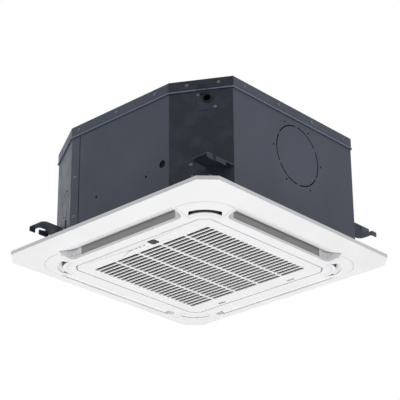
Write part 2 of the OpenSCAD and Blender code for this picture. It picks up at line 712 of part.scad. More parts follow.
module drain_hose() color(black) difference() {
    hose_body(hose_r);
    hose_body(hose_r - hose_wall);
}
float_at = [-160, 234];
float_stem_r = 2;
float_r = 9;
float_h = 12;
float_travel = 10;
float_cap_r = 8;
float_cap_h = 10;
float_stop_r = 4;
float_foot_h = 2;
module float_stem() color(white) translate([float_at[0], float_at[1], coil_z]) {
    cylinder(r = float_stop_r, h = float_foot_h);
    cylinder(r = float_stem_r, h = float_foot_h + float_h + float_travel + 2*float_foot_h + over);
    translate([0, 0, float_foot_h + float_h + float_travel + 2*float_foot_h])
        cylinder(r = float_cap_r, h = float_cap_h);
}
module float() color(white) translate([float_at[0], float_at[1], coil_z + float_foot_h + clear])
    ring(float_r, float_stem_r + run_fit, float_h);

// bell mouth and fan
mouth_t = 2;
mouth_lap = 16;
mouth_rim_r = pan_hole_r + mouth_lap;
mouth_rise = 54;
mouth_top_z = pan_z + mouth_rise;
module bell_mouth() color(black) rotate_extrude() {
    translate([0, pan_z - mouth_t]) {
        translate([throat_r + mouth_flare, 0]) square([mouth_rim_r - throat_r - mouth_flare, mouth_t]);
        translate([throat_r, mouth_flare]) square([mouth_t, mouth_top_z - pan_z + mouth_t - mouth_flare]);
        intersection() {
            translate([throat_r + mouth_flare, mouth_flare]) difference() {
                circle(r = mouth_flare);
                circle(r = mouth_flare - mouth_t);
            }
            translate([throat_r, 0]) square(mouth_flare);
        }
    }
}
shroud_gap = 4;
shroud_r = throat_r + mouth_t + shroud_gap;
shroud_lap = 7;
shroud_z = mouth_top_z - shroud_lap;
shroud_rise = 22;
fan_t = 2;
dome_gap = 12;
fan_dome_r = motor_r + dome_gap;
fan_dome_z = 98;
hub_r = 15;
hub_l = 14;
nut_r = 8;
nut_h = 6;
blade_lap = 40;
blade_in_r = throat_r - blade_lap;
blade_curve_r = 95;
blade_angle = 38;
shroud_neck_z = shroud_z + shroud_lap;
shroud_top_z = shroud_neck_z + shroud_rise;
blade_lead = 15;
// shroud ring round the inlet
module fan_ring() color("#6f7378") rotate_extrude() polygon([[shroud_r, shroud_z], [shroud_r + fan_t, shroud_z],
    [shroud_r + fan_t, shroud_neck_z], [fan_r, shroud_top_z - fan_t], [fan_r, shroud_top_z],
    [shroud_r, shroud_neck_z + fan_t]]);
// blades from the ring up to the back plate
module fan_blade() intersection() {
    translate([blade_in_r, 0, 0]) rotate([0, 0, blade_angle]) translate([0, blade_curve_r, 0])
        ring(blade_curve_r + fan_t/2, blade_curve_r - fan_t/2, fan_back_z + over);
    translate([blade_in_r, -over, shroud_z]) cube([fan_r, fan_r, fan_back_z]);
    rotate_extrude() polygon([[blade_in_r, shroud_neck_z + blade_lead], [shroud_r, shroud_neck_z + fan_t],
        [fan_r, shroud_top_z], [fan_r, fan_back_z], [blade_in_r, fan_back_z]]);
}
module blade_ring() color("#6f7378") for (k = [0 : fan_blades - 1]) rotate([0, 0, k*360/fan_blades]) fan_blade();
// back plate, dome and hub
module fan_impeller() color("#6f7378") rotate_extrude() {
    translate([fan_dome_r - fan_t, fan_back_z]) square([fan_r - fan_dome_r + fan_t, fan_t]);
    translate([fan_dome_r - fan_t, fan_dome_z]) square([fan_t, fan_back_z - fan_dome_z + fan_t/2]);
    translate([shaft_r + run_fit/2, fan_dome_z]) square([fan_dome_r - shaft_r - run_fit/2, fan_t]);
    translate([shaft_r + run_fit/2, fan_dome_z - hub_l/2]) square([hub_r - shaft_r - run_fit/2, hub_l]);
}
motor_gap = 7;
motor_z = fan_dome_z + fan_t + motor_gap;
motor_drop = 26;
motor_top_z = roof_z - motor_drop;
ear_t = 3;
ear_w = 20;
mount_r = 9;
mount_h = 10;
bolt_r = 3;
leg_w = 7;
motor_plate_t = 2.5;
motor_plate_z = motor_top_z + mount_h;
module fan_motor() color("#8d9298") difference() {
    union() {
        translate([0, 0, motor_z]) cylinder(r = motor_r, h = motor_top_z - motor_z);
        for (k = [0 : 2]) rotate([0, 0, 120*k]) {
            translate([0, -ear_w/2, motor_top_z - ear_t]) cube([ear_r, ear_w, ear_t]);
            translate([ear_r, 0, motor_top_z - ear_t]) cylinder(r = ear_w/2, h = ear_t);
        }
    }
    for (k = [0 : 2]) rotate([0, 0, 120*k]) translate([ear_r, 0, motor_top_z])
        rod_hole(bolt_r + screw_fit, 2*ear_t);
    translate([0, 0, motor_z - over]) cylinder(r = shaft_r + run_fit, h = motor_top_z - motor_z - motor_gap);
}
module motor_shaft() color(zinc) translate([0, 0, fan_dome_z - hub_l/2 - nut_h - fan_t])
    cylinder(r = shaft_r, h = motor_top_z - 2*motor_gap - fan_dome_z + hub_l/2 + nut_h + fan_t);
module fan_nut() color(zinc) translate([0, 0, fan_dome_z - hub_l/2 - nut_h]) difference() {
    cylinder(r = nut_r, h = nut_h, $fn = 6);
    translate([0, 0, -over]) cylinder(r = shaft_r + run_fit/2, h = nut_h + 2*over);
}
module motor_plate() color(zinc) difference() {
    union() {
        translate([0, 0, motor_plate_z]) cylinder(r = plate_disc_r, h = motor_plate_t);
        for (k = [0 : 3]) rotate([0, 0, 90*k + 45]) translate([leg_r, 0, motor_plate_z])
            cylinder(r = leg_w, h = roof_z - motor_plate_z);
    }
    translate([0, 0, motor_plate_z - over]) cylinder(r = motor_r*0.75, h = motor_plate_t + 2*over);
    for (k = [0 : 2]) rotate([0, 0, 120*k]) translate([ear_r, 0, motor_plate_z + motor_plate_t])
        rod_hole(bolt_r + screw_fit, 2*motor_plate_t);
    for (k = [0 : 3]) rotate([0, 0, 90*k + 45]) translate([leg_r, 0, roof_z])
        rod_hole(screw_r + screw_fit, screw_deep + clear);
}
module motor_mounts() color(black) for (k = [0 : 2]) rotate([0, 0, 120*k]) translate([ear_r, 0, motor_top_z]) {
    ring(mount_r, bolt_r + screw_fit, mount_h);
    translate([0, 0, -ear_t - bolt_r]) cylinder(r = 2*bolt_r, h = bolt_r);
    translate([0, 0, -ear_t - bolt_r/2]) cylinder(r = bolt_r, h = ear_t + mount_h + motor_plate_t + bolt_r);
    translate([0, 0, mount_h + motor_plate_t]) cylinder(r = 2*bolt_r, h = bolt_r, $fn = 6);
}

// control box, below the drain pan beside the bell mouth
box_t = 1;
control_gap = 6;
control_y = -pan_hole_r - control_w/2 - control_gap;
control_top_z = pan_z - mouth_t - clear;
control_z = control_top_z - control_h;
control_ear = 12;
board_drop = 12;
board_z = control_top_z - board_drop;
board_t = 1.6;
board_gap = 2;
post_r = 3;
board_l = control_l*0.62;
board_w = control_w - 2*box_t - 2*board_gap;
board_x = -control_l*0.14;
module control_box() color(zinc) difference() {
    union() {
        translate([0, control_y, control_z]) block([control_l, control_w, control_h]);
        for (s = [-1, 1]) translate([s*(control_l/2 + control_ear/2), control_y, control_top_z - box_t])
            block([control_ear + 2*box_t, control_ear, box_t]);
    }
    difference() {
        translate([0, control_y, control_z - over])
            block([control_l - 2*box_t, control_w - 2*box_t, control_h + over - box_t]);
        for (sx = [-1, 1]) for (sy = [-1, 1])
            translate([board_x + sx*(board_l/2 - 2*post_r), control_y + sy*(board_w/2 - 2*post_r), board_z + board_t])
                cylinder(r = post_r, h = control_top_z - board_z);
    }
}
module control_lid() color(zinc) translate([0, control_y, control_z - box_t])
    block([control_l, control_w, box_t]);
chip_sizes = [[26, 22, 8], [18, 30, 11], [34, 14, 6], [14, 14, 12]];
chip_shares = [[-0.36, 0.1], [-0.12, -0.06], [0.14, 0.16], [0.36, -0.1]];
module main_board() color("#2e6b46") translate([board_x, control_y, board_z]) {
    block([board_l, board_w, board_t]);
    for (k = [0 : 3]) translate([chip_shares[k][0]*board_l, chip_shares[k][1]*control_w, -chip_sizes[k][2]])
        block(chip_sizes[k]);
}
terminal_size = [34, 26, 16];
terminal_x = control_l/2 - terminal_size[0]/2 - 3*box_t;
module terminal_block() color(black)
    translate([terminal_x, control_y, control_top_z - box_t - terminal_size[2]]) difference() {
        block(terminal_size);
        for (k = [-1.5 : 1 : 1.5]) translate([k*terminal_size[0]/4, 0, -over])
            cylinder(r = screw_r, h = terminal_size[2]/2);
    }
capacitor_size = [20, 34, 18];
module fan_capacitor() color(white)
    translate([control_l*0.3, control_y, control_top_z - box_t - capacitor_size[2]]) block(capacitor_size);

// the panel is drawn about its own middle
module in_panel() translate([0, -panel_shift, 0]) children();
module along(length) rotate([90, 0, 90]) translate([0, 0, -length/2]) linear_extrude(length) children();
shoulder_half = 282;
shoulder_r = 75;
face_half = 242;
face_r = 52;
grille_half = grille_w/2;
mouth_half = grille_half + grille_gap;
skin = 0.1;
// the panel's outer skin, drawn in by t on every side
module panel_body(t) hull() {
    translate([0, 0, rim_z + t]) linear_extrude(rim_h) cut_square(panel_w/2 - t, panel_corner - t/2);
    translate([0, 0, shoulder_z + t]) linear_extrude(skin)
        round_square(shoulder_half - t, shoulder_r - t, $fn = hull_fn);
    translate([0, 0, face_z + t]) linear_extrude(skin)
        round_square(face_half - t, face_r - t, $fn = hull_fn);
}
module outlet_shape(grow) {
    half_l = outlet_l/2 + grow;
    near = outlet_in - grow;
    translate([-half_l, -outlet_out]) square([2*half_l, outlet_out - near - outlet_r]);
    translate([-half_l + outlet_r, -near - outlet_r - over]) square([2*(half_l - outlet_r), outlet_r + over]);
    for (s = [-1, 1]) translate([s*(half_l - outlet_r), -near - outlet_r]) circle(r = outlet_r);
}
lip_t = 2;
lip_h = 5.6;
well_t = 2.5;
duct_end = outlet_l/2 + lip_t + clear;
duct_in = outlet_in - 2*lip_t;
duct_out = outlet_out + lip_t + clear;
duct_slope_h = 15;
duct_bend_z = rim_z + duct_slope_h;
gasket_t = 3;
duct_top_z = base_z - gasket_t;
gasket_rim = 8;
slope = atan2(face_drop - shoulder_drop, shoulder_half - face_half);
louver_d = outlet_out - nose_r - clear;
louver_z = face_z + (louver_d - face_half)*tan(slope) + nose_r/cos(slope);
pin_reach = 8;

// bosses for the panel's screws, under the casing's corner flanges
boss_r = 5;
boss_x = half_x - 2*base_flange;
boss_y = (cut_k - cut_len*base_flange/2 - corner_cut_y*boss_x)/corner_cut_x;
boss_seat_z = shoulder_z;
module at_bosses() for (sx = [-1, 1]) for (sy = [-1, 1]) translate([sx*boss_x, sy*boss_y, 0]) children();
module panel_screws() color(zinc) at_bosses() translate([0, 0, boss_seat_z]) rotate([180, 0, 0])
    screw(base_z - boss_seat_z + screw_deep/2);

// corner covers with their air slot, drawn for the corner at +X -Y
cover_t = 2;
cover_back = 5;
cover_line = 0.8;
cover_rim = 1;
cover_side = duct_end + well_t + clear + cover_rim;
cover_mid = 203;
cover_r = 72;
cover_in = 38;
vent_mid = 190;
vent_r_in = 48;
vent_r_out = 61;
vent_half = 36;
vent_wall = 1.5;
vent_deep = 14;
module at_corners() for (k = [0 : 3]) in_panel() rotate([0, 0, 90*k]) children();
module corner_region(grow) difference() {
    intersection() {
        translate([cover_side - grow, -cover_side + grow - panel_w]) square(panel_w);
        union() {
            translate([cover_mid, -cover_mid]) circle(r = cover_r + grow);
            translate([0, -cover_mid - cover_r - grow]) square([cover_mid, cover_mid + cover_r + grow]);
            translate([0, -cover_mid]) square([cover_mid + cover_r + grow, cover_mid]);
        }
    }
    translate([vent_mid, -vent_mid]) circle(r = cover_in - grow);
}
module vent_shape(grow) intersection() {
    translate([vent_mid, -vent_mid]) difference() {
        circle(r = vent_r_out + grow);
        circle(r = vent_r_in - grow);
    }
    translate([vent_mid, -vent_mid]) rotate(-45) translate([0, -vent_half - grow])
        square([2*vent_r_out, 2*(vent_half + grow)]);
}
// everything within depth t of the panel's outer skin, over a flat shape
module skin_part(t) intersection() {
    difference() {
        panel_body(0);
        panel_body(t);
    }
    translate([0, 0, face_z - over]) linear_extrude(ceiling_z - face_z + 2*over) children();
}
module skin_cut(t) difference() {
    translate([0, 0, face_z - over]) linear_extrude(base_z - face_z) children();
    panel_body(t);
}
module corner_covers() color(white) at_corners() difference() {
    skin_part(cover_t) corner_region(-cover_line);
    translate([0, 0, face_z - over]) linear_extrude(ceiling_z - face_z) vent_shape(0);
}
module corner_vents() color(black) at_corners() difference() {
    intersection() {
        difference() {
            panel_body(cover_t + clear);
            panel_body(vent_deep);
        }
        translate([0, 0, face_z]) linear_extrude(ceiling_z - face_z) intersection() {
            vent_shape(vent_wall);
            corner_region(-clear);
        }
    }
    intersection() {
        translate([0, 0, face_z]) linear_extrude(ceiling_z - face_z) vent_shape(0);
        difference() {
            panel_body(0);
            panel_body(vent_deep - vent_wall);
        }
    }
}

// panel frame
mouth_wall_h = 20;
// the grille's hinge lies outside the mouth wall, and its arms reach over notches in that wall
hinge_x = 130;
hinge_out = 5.5;
hinge_up = 6;
hinge_pin_r = 2;
hinge_ear_w = 5;
hinge_ear_r = 4.5;
hinge_y = -mouth_half - hinge_out;
hinge_z = face_z + hinge_up;
arm_w = 6;
arm_t = 2.8;
arm_top = 9;
arm_post = 4;
arm_in = 0.6;
barrel_r = hinge_up - panel_t - clear;
pin_l = arm_w + 2*(clear + hinge_ear_w);
function cut_leg(grow) = grille_corner + grow*(2 - sqrt(2));
module mouth_shape(grow) cut_square(mouth_half + grow, cut_leg(grille_gap + grow));
module panel_frame() color(white) difference() {
    union() {
        in_panel() {
            difference() {
                union() {
                    difference() {
                        panel_body(0);
                        panel_body(panel_t);
                    }
                    for (k = [0 : 3]) rotate([0, 0, 90*k]) {
                        skin_part(lip_h) outlet_shape(lip_t);
                        skin_part(cover_back) corner_region(cover_rim);
                    }
                }
                translate([0, 0, face_z - over]) linear_extrude(mouth_wall_h) mouth_shape(0);
                translate([0, 0, ceiling_z]) linear_extrude(rim_h + panel_t) square(panel_w, center = true);
                for (k = [0 : 3]) rotate([0, 0, 90*k]) {
                    translate([0, 0, face_z - over]) linear_extrude(ceiling_z - face_z + 2*over) outlet_shape(0);
                    skin_cut(cover_t + clear) corner_region(0);
                    translate([0, 0, face_z]) linear_extrude(base_z - face_z) intersection() {
                        vent_shape(vent_wall + clear);
                        corner_region(0);
                    }
                    motor_can(louver_can_r + clear);
                }
            }
            for (s = [-1, 1]) translate([s*hinge_x, hinge_y, hinge_z]) for (e = [0, 1]) mirror([e, 0, 0])
                translate([arm_w/2 + clear, -hinge_ear_r, panel_t/2 - hinge_up])
                    cube([hinge_ear_w, 2*hinge_ear_r, hinge_ear_r + hinge_up - panel_t/2]);
        }
        at_bosses() translate([0, 0, boss_seat_z - head_h]) cylinder(r = boss_r, h = base_z - boss_seat_z + head_h);
    }
    at_bosses() {
        translate([0, 0, face_z]) cylinder(r = head_r + clear, h = boss_seat_z - face_z);
        translate([0, 0, face_z]) cylinder(r = screw_r + screw_fit, h = base_z - face_z + over);
    }
    in_panel() for (s = [-1, 1]) translate([s*hinge_x, hinge_y, hinge_z]) rotate([0, 90, 0])
        cylinder(r = hinge_pin_r + run_fit, h = pin_l + 2*over, center = true);
}
// walls that stand on the panel round its mouth, with gaps for the latches and for the grille's arms
module mouth_walls() color(white) in_panel() translate([0, 0, face_z + panel_t]) difference() {
    linear_extrude(mouth_wall_h - panel_t) difference() {
        mouth_shape(lip_t);
        mouth_shape(0);
    }
    for (s = [-1, 1]) {
        translate([s*latch_x, mouth_half + lip_t/2, -over])
            block([latch_w + 4*clear, lip_t + 2*over, mouth_wall_h + over]);
        translate([s*hinge_x, -mouth_half - lip_t/2, -over])
            block([pin_l, lip_t + 2*over, mouth_wall_h + over]);
    }
}
// an arm of the grille, about its hinge axis: post, bar over the notch, web and barrel with its pins
module hinge_arm() {
    post_y = hinge_out + grille_gap + arm_in;
    translate([-arm_w/2, post_y, grille_t/2 - hinge_up]) cube([arm_w, arm_post, arm_top + hinge_up - grille_t/2]);
    translate([-arm_w/2, -barrel_r, arm_top - arm_t]) cube([arm_w, post_y + arm_post + barrel_r, arm_t]);
    translate([-arm_w/2, -barrel_r, 0]) cube([arm_w, 2*barrel_r, arm_top]);
    rotate([0, 90, 0]) cylinder(r = barrel_r, h = arm_w, center = true);
    rotate([0, 90, 0]) cylinder(r = hinge_pin_r, h = pin_l, center = true);
}

// air ducts from the casing's passages down to the outlets
shifts = [-panel_shift, 0, panel_shift, 0];
side_shifts = [0, panel_shift, 0, -panel_shift];
function skin_z(d) = d < face_half - panel_t ? face_z + panel_t
    : d < shoulder_half - panel_t ? face_z + panel_t + (d - face_half + panel_t)*tan(slope)
    : shoulder_z + panel_t + (d - shoulder_half + panel_t)*shoulder_drop/(panel_w/2 - shoulder_half);
module duct_profile(k, grow, top) mirror([1, 0]) polygon([
    [duct_in - grow, skin_z(duct_in) + clear], [duct_in - grow, duct_bend_z],
    [passage_in + shifts[k] - grow, top], [passage_out(k) + shifts[k] + grow, top],
    [duct_out + grow, duct_bend_z], [duct_out + grow, skin_z(duct_out + well_t) + clear],
    [shoulder_half - panel_t, skin_z(shoulder_half - panel_t) + clear],
    [face_half - panel_t, skin_z(face_half - panel_t) + clear]]);
module motor_can(r) translate([duct_end + well_t, -louver_d, louver_z + louver_can_up]) rotate([0, 90, 0])
    cylinder(r = r, h = louver_can_l + r - louver_can_r);
module duct(k) color(grey) in_panel() rotate([0, 0, 90*k]) difference() {
    union() {
        along(2*(duct_end + well_t)) duct_profile(k, well_t, duct_top_z);
        intersection() {
            slab(side_shifts[k] - passage_l/2 - gasket_rim, side_shifts[k] + passage_l/2 + gasket_rim,
                -side_ins[k] - shifts[k], gasket_rim - passage_in - shifts[k], duct_top_z - well_t, duct_top_z);
            rotate([0, 0, -90*k]) translate([0, panel_shift, duct_top_z - well_t])
                linear_extrude(well_t) casing_shape(0);
        }
    }
    difference() {
        along(2*duct_end) {
            duct_profile(k, 0, duct_top_z + over);
            translate([-duct_out, face_z]) square([duct_out - duct_in, duct_bend_z - face_z]);
        }
        slab(side_shifts[k] + passage_l/2, panel_w, -panel_w, 0, duct_top_z - well_t, duct_top_z + 2*over);
        slab(-panel_w, side_shifts[k] - passage_l/2, -panel_w, 0, duct_top_z - well_t, duct_top_z + 2*over);
    }
    translate([0, -louver_d, louver_z]) rotate([0, 90, 0])
        cylinder(r = louver_pin_r + run_fit, h = panel_w, center = true);
}
module duct_front() duct(0);
module duct_right() duct(1);
module duct_rear() duct(2);
module duct_left() duct(3);
module panel_gasket() color(black) translate([0, 0, duct_top_z]) linear_extrude(gasket_t) intersection() {
    casing_shape(0);
    for (k = [0 : 3]) rotate(90*k) difference() {
        translate([-passage_l/2 - gasket_rim, -side_ins[k]])
            square([passage_l + 2*gasket_rim, side_ins[k] - passage_in + gasket_rim]);
        translate([-passage_l/2, -passage_out(k)]) square([passage_l, passage_out(k) - passage_in]);
    }
}

// louvers, drawn closed and then lifted about their pins
louver_gap = 2.5;
blade_gap = 4;
louver_l = outlet_l - 2*louver_gap;
louver_w = louver_d - outlet_in;
blade_corner_r = 24;
louver_can_r = 10;
louver_can_up = 7.2;
louver_can_l = 15;
module louver(k) color(white) in_panel() rotate([0, 0, 90*k]) translate([0, -louver_d, louver_z])
    rotate([louver_lift - slope, 0, 0]) {
        blade_l = louver_w/cos(slope) + nose_r*tan(slope) - blade_gap;
        rotate([0, 90, 0]) cylinder(r = nose_r, h = louver_l, center = true);
        translate([0, 0, -nose_r]) linear_extrude(blade_t) intersection() {
            translate([-louver_l/2, 0]) square([louver_l, blade_l]);
            union() {
                translate([-louver_l/2, 0]) square([louver_l, blade_l - blade_corner_r]);
                translate([-louver_l/2 + blade_corner_r, 0]) square([louver_l - 2*blade_corner_r, blade_l]);
                for (s = [-1, 1]) translate([s*(louver_l/2 - blade_corner_r), blade_l - blade_corner_r])
                    circle(r = blade_corner_r);
            }
        }
        translate([-duct_end - well_t, 0, 0]) rotate([0, 90, 0])
            cylinder(r = louver_pin_r, h = 2*(duct_end + well_t) + pin_reach);
    }
module louver_front() louver(0);
module louver_right() louver(1);
module louver_rear() louver(2);
module louver_left() louver(3);
module louver_motors() color(zinc) at_corners() difference() {
    motor_can(louver_can_r);
    translate([duct_end, -louver_d, louver_z]) rotate([0, 90, 0])
        cylinder(r = louver_pin_r + run_fit, h = well_t + pin_reach + over);
}

// intake grille with its filter, latches and indicators
rib_h = 4;
rib_t = 2;
field_x = slot_columns*slot_pitch_x/2;
field_y = slot_rows*slot_pitch_y/2;
filter_over = 5;
filter_t = 3;
net_t = 0.8;
filter_bar = 6;
latch_x = 109;
latch_w = 28;
latch_t = 2.5;
latch_l = 24;
latch_travel = 5;
latch_z = face_z + grille_t + clear;
latch_end_y = grille_half - clear;
tab_l = 5;
tab_w = 22;
tab_y = latch_end_y - latch_l + latch_l/4;
rail_w = 2;
rail_lip = 1.5;
display_in = 20;
display_y = display_in - grille_half;
window_x = 34;
window_w = 22;
window_r = 5;
lens_r = 1.8;
lens_shares = [-1, -0.59, -0.24, 0.16];
board_size = [96, 24, 1.2];
display_z = face_z + grille_t + rib_h/4;
module slot_row() for (c = [0 : slot_columns - 1]) translate([(c + 0.5)*slot_pitch_x - field_x, 0]) {
    square([slot_l - slot_h, slot_h], center = true);
    for (s = [-1, 1]) translate([s*(slot_l - slot_h)/2, 0]) circle(r = slot_h/2);
}
module window_shape(grow) round_square(window_w/2 + grow, window_r + grow);
module intake_grille() color(white) in_panel() {
    translate([0, 0, face_z]) linear_extrude(grille_t) difference() {
        cut_square(grille_half, grille_corner);
        for (r = [0 : slot_rows - 1]) translate([0, (r + 0.5)*slot_pitch_y - field_y]) slot_row();
        translate([window_x, display_y]) window_shape(clear);
        for (s = lens_shares) translate([s*window_x, display_y]) circle(r = lens_r + screw_fit);
        for (s = [-1, 1]) translate([s*latch_x - tab_w/2 - clear, tab_y - 2*clear])
            square([tab_w + 2*clear, tab_l + latch_travel + 4*clear]);
    }
    for (c = [0 : slot_columns]) translate([c*slot_pitch_x - field_x, 0, face_z + grille_t/2])
        block([rib_t, 2*field_y, rib_h + grille_t/2]);
    for (s = [-1, 1]) {
        translate([s*hinge_x, hinge_y, hinge_z]) hinge_arm();
        translate([s*latch_x, latch_end_y - latch_l, face_z + grille_t/2]) latch_rails();
    }
}
module latch_rails() for (s = [0, 1]) mirror([s, 0, 0]) {
    rail_h = grille_t/2 + latch_t + 2*clear;
    translate([latch_w/2 + clear, 0, 0]) cube([rail_w, latch_l - latch_travel, rail_h + rail_lip]);
    translate([latch_w/2 - rail_lip, 0, rail_h]) cube([rail_w + rail_lip, latch_l - latch_travel, rail_lip]);
}
module latch(s) color(white) in_panel() translate([s*latch_x, latch_end_y - latch_l, latch_z]) {
    translate([-latch_w/2, 0, 0]) cube([latch_w, latch_l, latch_t]);
    translate([-tab_w/2, tab_y - latch_end_y + latch_l, -grille_t]) cube([tab_w, tab_l, grille_t + latch_t/2]);
}
module latch_left() latch(-1);
module latch_right() latch(1);
module air_filter() color("#3a3c40") in_panel() translate([0, 0, face_z + grille_t + rib_h + clear]) {
    linear_extrude(net_t) square(2*[field_x + filter_over, field_y + filter_over], center = true);
    linear_extrude(filter_t) difference() {
        square(2*[field_x + filter_over, field_y + filter_over], center = true);
        square(2*[field_x + filter_over - filter_bar, field_y + filter_over - filter_bar], center = true);
    }
    for (k = [-1, 0, 1]) {
        translate([k*field_x/2, 0, 0]) block([filter_bar/2, 2*field_y, filter_t]);
        translate([0, k*field_y/2, 0]) block([2*field_x, filter_bar/2, filter_t]);
    }
}
module receiver_window() color(black) in_panel() translate([window_x, display_y, face_z - clear])
    linear_extrude(display_z - face_z + clear) window_shape(0);
module indicator_lenses() color("#9a8f86") in_panel() for (s = lens_shares)
    translate([s*window_x, display_y, face_z - clear/2]) cylinder(r = lens_r, h = display_z - face_z + clear/2);
module display_board() color("#2e6b46") in_panel() translate([0, display_y, display_z]) {
    block(board_size);
    for (s = [-1, 1]) translate([s*board_size[0]/3, 0, board_size[2]])
        block([window_w/2, window_w/2, board_size[2]]);
}

top_cover();
casing_front();
casing_rear();
casing_liner();
top_liner();
hanger_brackets();
cover_screws();
casing_screws();
cable_plate();
cable_grommet();
cable_tie();
pipe_plate();
gas_pipe();
liquid_pipe();
flare_nuts();
drain_port();
drain_hose();
coil_fins();
coil_tubes();
coil_end_plates();
drain_pan();
drain_plug();
drain_pump();
pump_impeller();
float_stem();
float();
bell_mouth();
fan_motor();
motor_plate();
motor_mounts();
fan_impeller();
fan_ring();
blade_ring();
motor_shaft();
fan_nut();
control_box();
control_lid();
main_board();
terminal_block();
fan_capacitor();
panel_gasket();
panel_frame();
mouth_walls();
duct_front();
duct_right();
duct_rear();
duct_left();
louver_front();
louver_right();
louver_rear();
louver_left();
louver_motors();
corner_covers();
corner_vents();
panel_screws();
intake_grille();
air_filter();
latch_left();
latch_right();
receiver_window();
indicator_lenses();
display_board();
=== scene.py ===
"""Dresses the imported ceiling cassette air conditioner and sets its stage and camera."""
import json
import math

import bmesh
import bpy
from mathutils import Matrix, Vector

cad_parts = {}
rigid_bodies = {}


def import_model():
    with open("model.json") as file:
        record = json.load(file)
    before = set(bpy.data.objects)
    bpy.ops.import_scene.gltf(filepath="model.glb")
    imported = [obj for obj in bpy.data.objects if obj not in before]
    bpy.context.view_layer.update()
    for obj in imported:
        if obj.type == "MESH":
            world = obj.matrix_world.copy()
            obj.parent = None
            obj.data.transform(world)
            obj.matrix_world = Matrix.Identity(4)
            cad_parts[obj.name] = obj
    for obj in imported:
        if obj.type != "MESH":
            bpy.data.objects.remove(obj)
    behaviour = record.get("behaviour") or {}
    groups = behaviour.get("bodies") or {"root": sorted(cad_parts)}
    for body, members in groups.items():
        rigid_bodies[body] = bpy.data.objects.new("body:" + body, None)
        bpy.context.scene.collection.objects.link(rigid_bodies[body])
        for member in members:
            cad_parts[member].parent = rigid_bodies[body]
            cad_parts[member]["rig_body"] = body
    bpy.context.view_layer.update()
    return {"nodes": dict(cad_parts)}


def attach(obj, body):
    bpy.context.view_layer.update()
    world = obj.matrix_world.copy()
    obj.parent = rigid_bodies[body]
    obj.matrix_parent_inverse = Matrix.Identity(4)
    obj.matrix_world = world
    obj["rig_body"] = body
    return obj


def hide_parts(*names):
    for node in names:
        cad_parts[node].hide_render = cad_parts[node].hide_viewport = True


bl_info = {
    "name": "Ceiling Cassette Dressing",
    "version": (1, 0, 0),
    "blender": (4, 5, 0),
    "location": "View3D > Sidebar > Cassette",
    "description": "Finishes and fine pieces for a four way ceiling cassette air conditioner",
    "category": "Object",
}

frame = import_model()
FINISHES = {}

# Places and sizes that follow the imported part, in metres

PANEL_Y = -0.016
FACE_Z = -0.103
GRILLE_T = 0.003
# the height of the flange's bead, and half the height of the painted highlight band along it
BEAD_Z = 0.1936
BEAD_HALF = 0.0013
# the way that the near corner's wall faces, and how far along it that wall starts; the coat on that wall is
# painted darker as painted shade
CORNER_WAY = (0.499, -0.8666, 0.0)
CORNER_REACH = 0.3233
# points nearer to each other than this are one
MERGE = 0.00001
# outlines are filled at this many times their size, because the fill loses small slots
FILL_SCALE = 1000.0


# Sizes and colours that a user would change

def length(label, note, default, low, high):
    return bpy.props.FloatProperty(
        name=label, description=note, default=default, min=low, max=high, unit="LENGTH", precision=5)


def tone(label, note, default):
    return bpy.props.FloatVectorProperty(
        name=label, description=note, default=default, size=3, min=0.0, max=1.0, subtype="COLOR")


class CassetteSizes(bpy.types.PropertyGroup):
    sheet_round: length("Sheet edge rounding", "Rounding of the sheet metal's edges", 0.0005, 0.0001, 0.001)
    mould_round: length("Moulded edge rounding", "Rounding of the plastic edges", 0.0006, 0.0001, 0.002)
    screw_radius: length("Screw head radius", "Radius of a screw's round head", 0.004, 0.002, 0.006)
    screw_height: length("Screw head height", "Height of a screw's round head", 0.002, 0.001, 0.003)
    slot_length: length("Slot length", "Length of a slot in the intake grille", 0.0688, 0.05, 0.07)
    slot_height: length("Slot height", "Height of a slot in the intake grille", 0.0098, 0.006, 0.012)
    slot_pitch_x: length("Column spacing", "Spacing of the grille's slot columns", 0.0724, 0.06, 0.08)
    slot_pitch_y: length("Row spacing", "Spacing of the grille's slot rows", 0.014, 0.012, 0.016)
    slot_columns: bpy.props.IntProperty(
        name="Slot columns", description="Columns of slots", default=5, min=1, max=5)
    slot_rows: bpy.props.IntProperty(
        name="Slot rows", description="Rows of slots", default=24, min=2, max=24)
    net_pitch: length("Filter net spacing", "Spacing of the filter net's threads", 0.003, 0.002, 0.006)
    net_thread: length("Filter thread", "Width of the filter net's threads", 0.0021, 0.0004, 0.003)
    fin_pitch: length("Fin spacing", "Spacing of the heat exchanger's fins", 0.0024, 0.0015, 0.006)
    fin_thickness: length("Fin thickness", "Thickness of a fin", 0.0003, 0.0001, 0.0006)


class CassetteColours(bpy.types.PropertyGroup):
    casing: tone("Casing paint", "Dark paint of the casing", (0.076, 0.091, 0.126))
    panel: tone("Panel plastic", "White plastic of the panel and its louvers", (0.83, 0.83, 0.84))
    duct: tone("Duct plastic", "Grey plastic of the air ducts", (0.34, 0.34, 0.335))
    foam: tone("Foam", "Foam of the liners and the drain pan", (0.70, 0.71, 0.72))
    dark: tone("Dark plastic", "Dark plastic of the vents and the filter", (0.012, 0.012, 0.013))


# Shader nodes

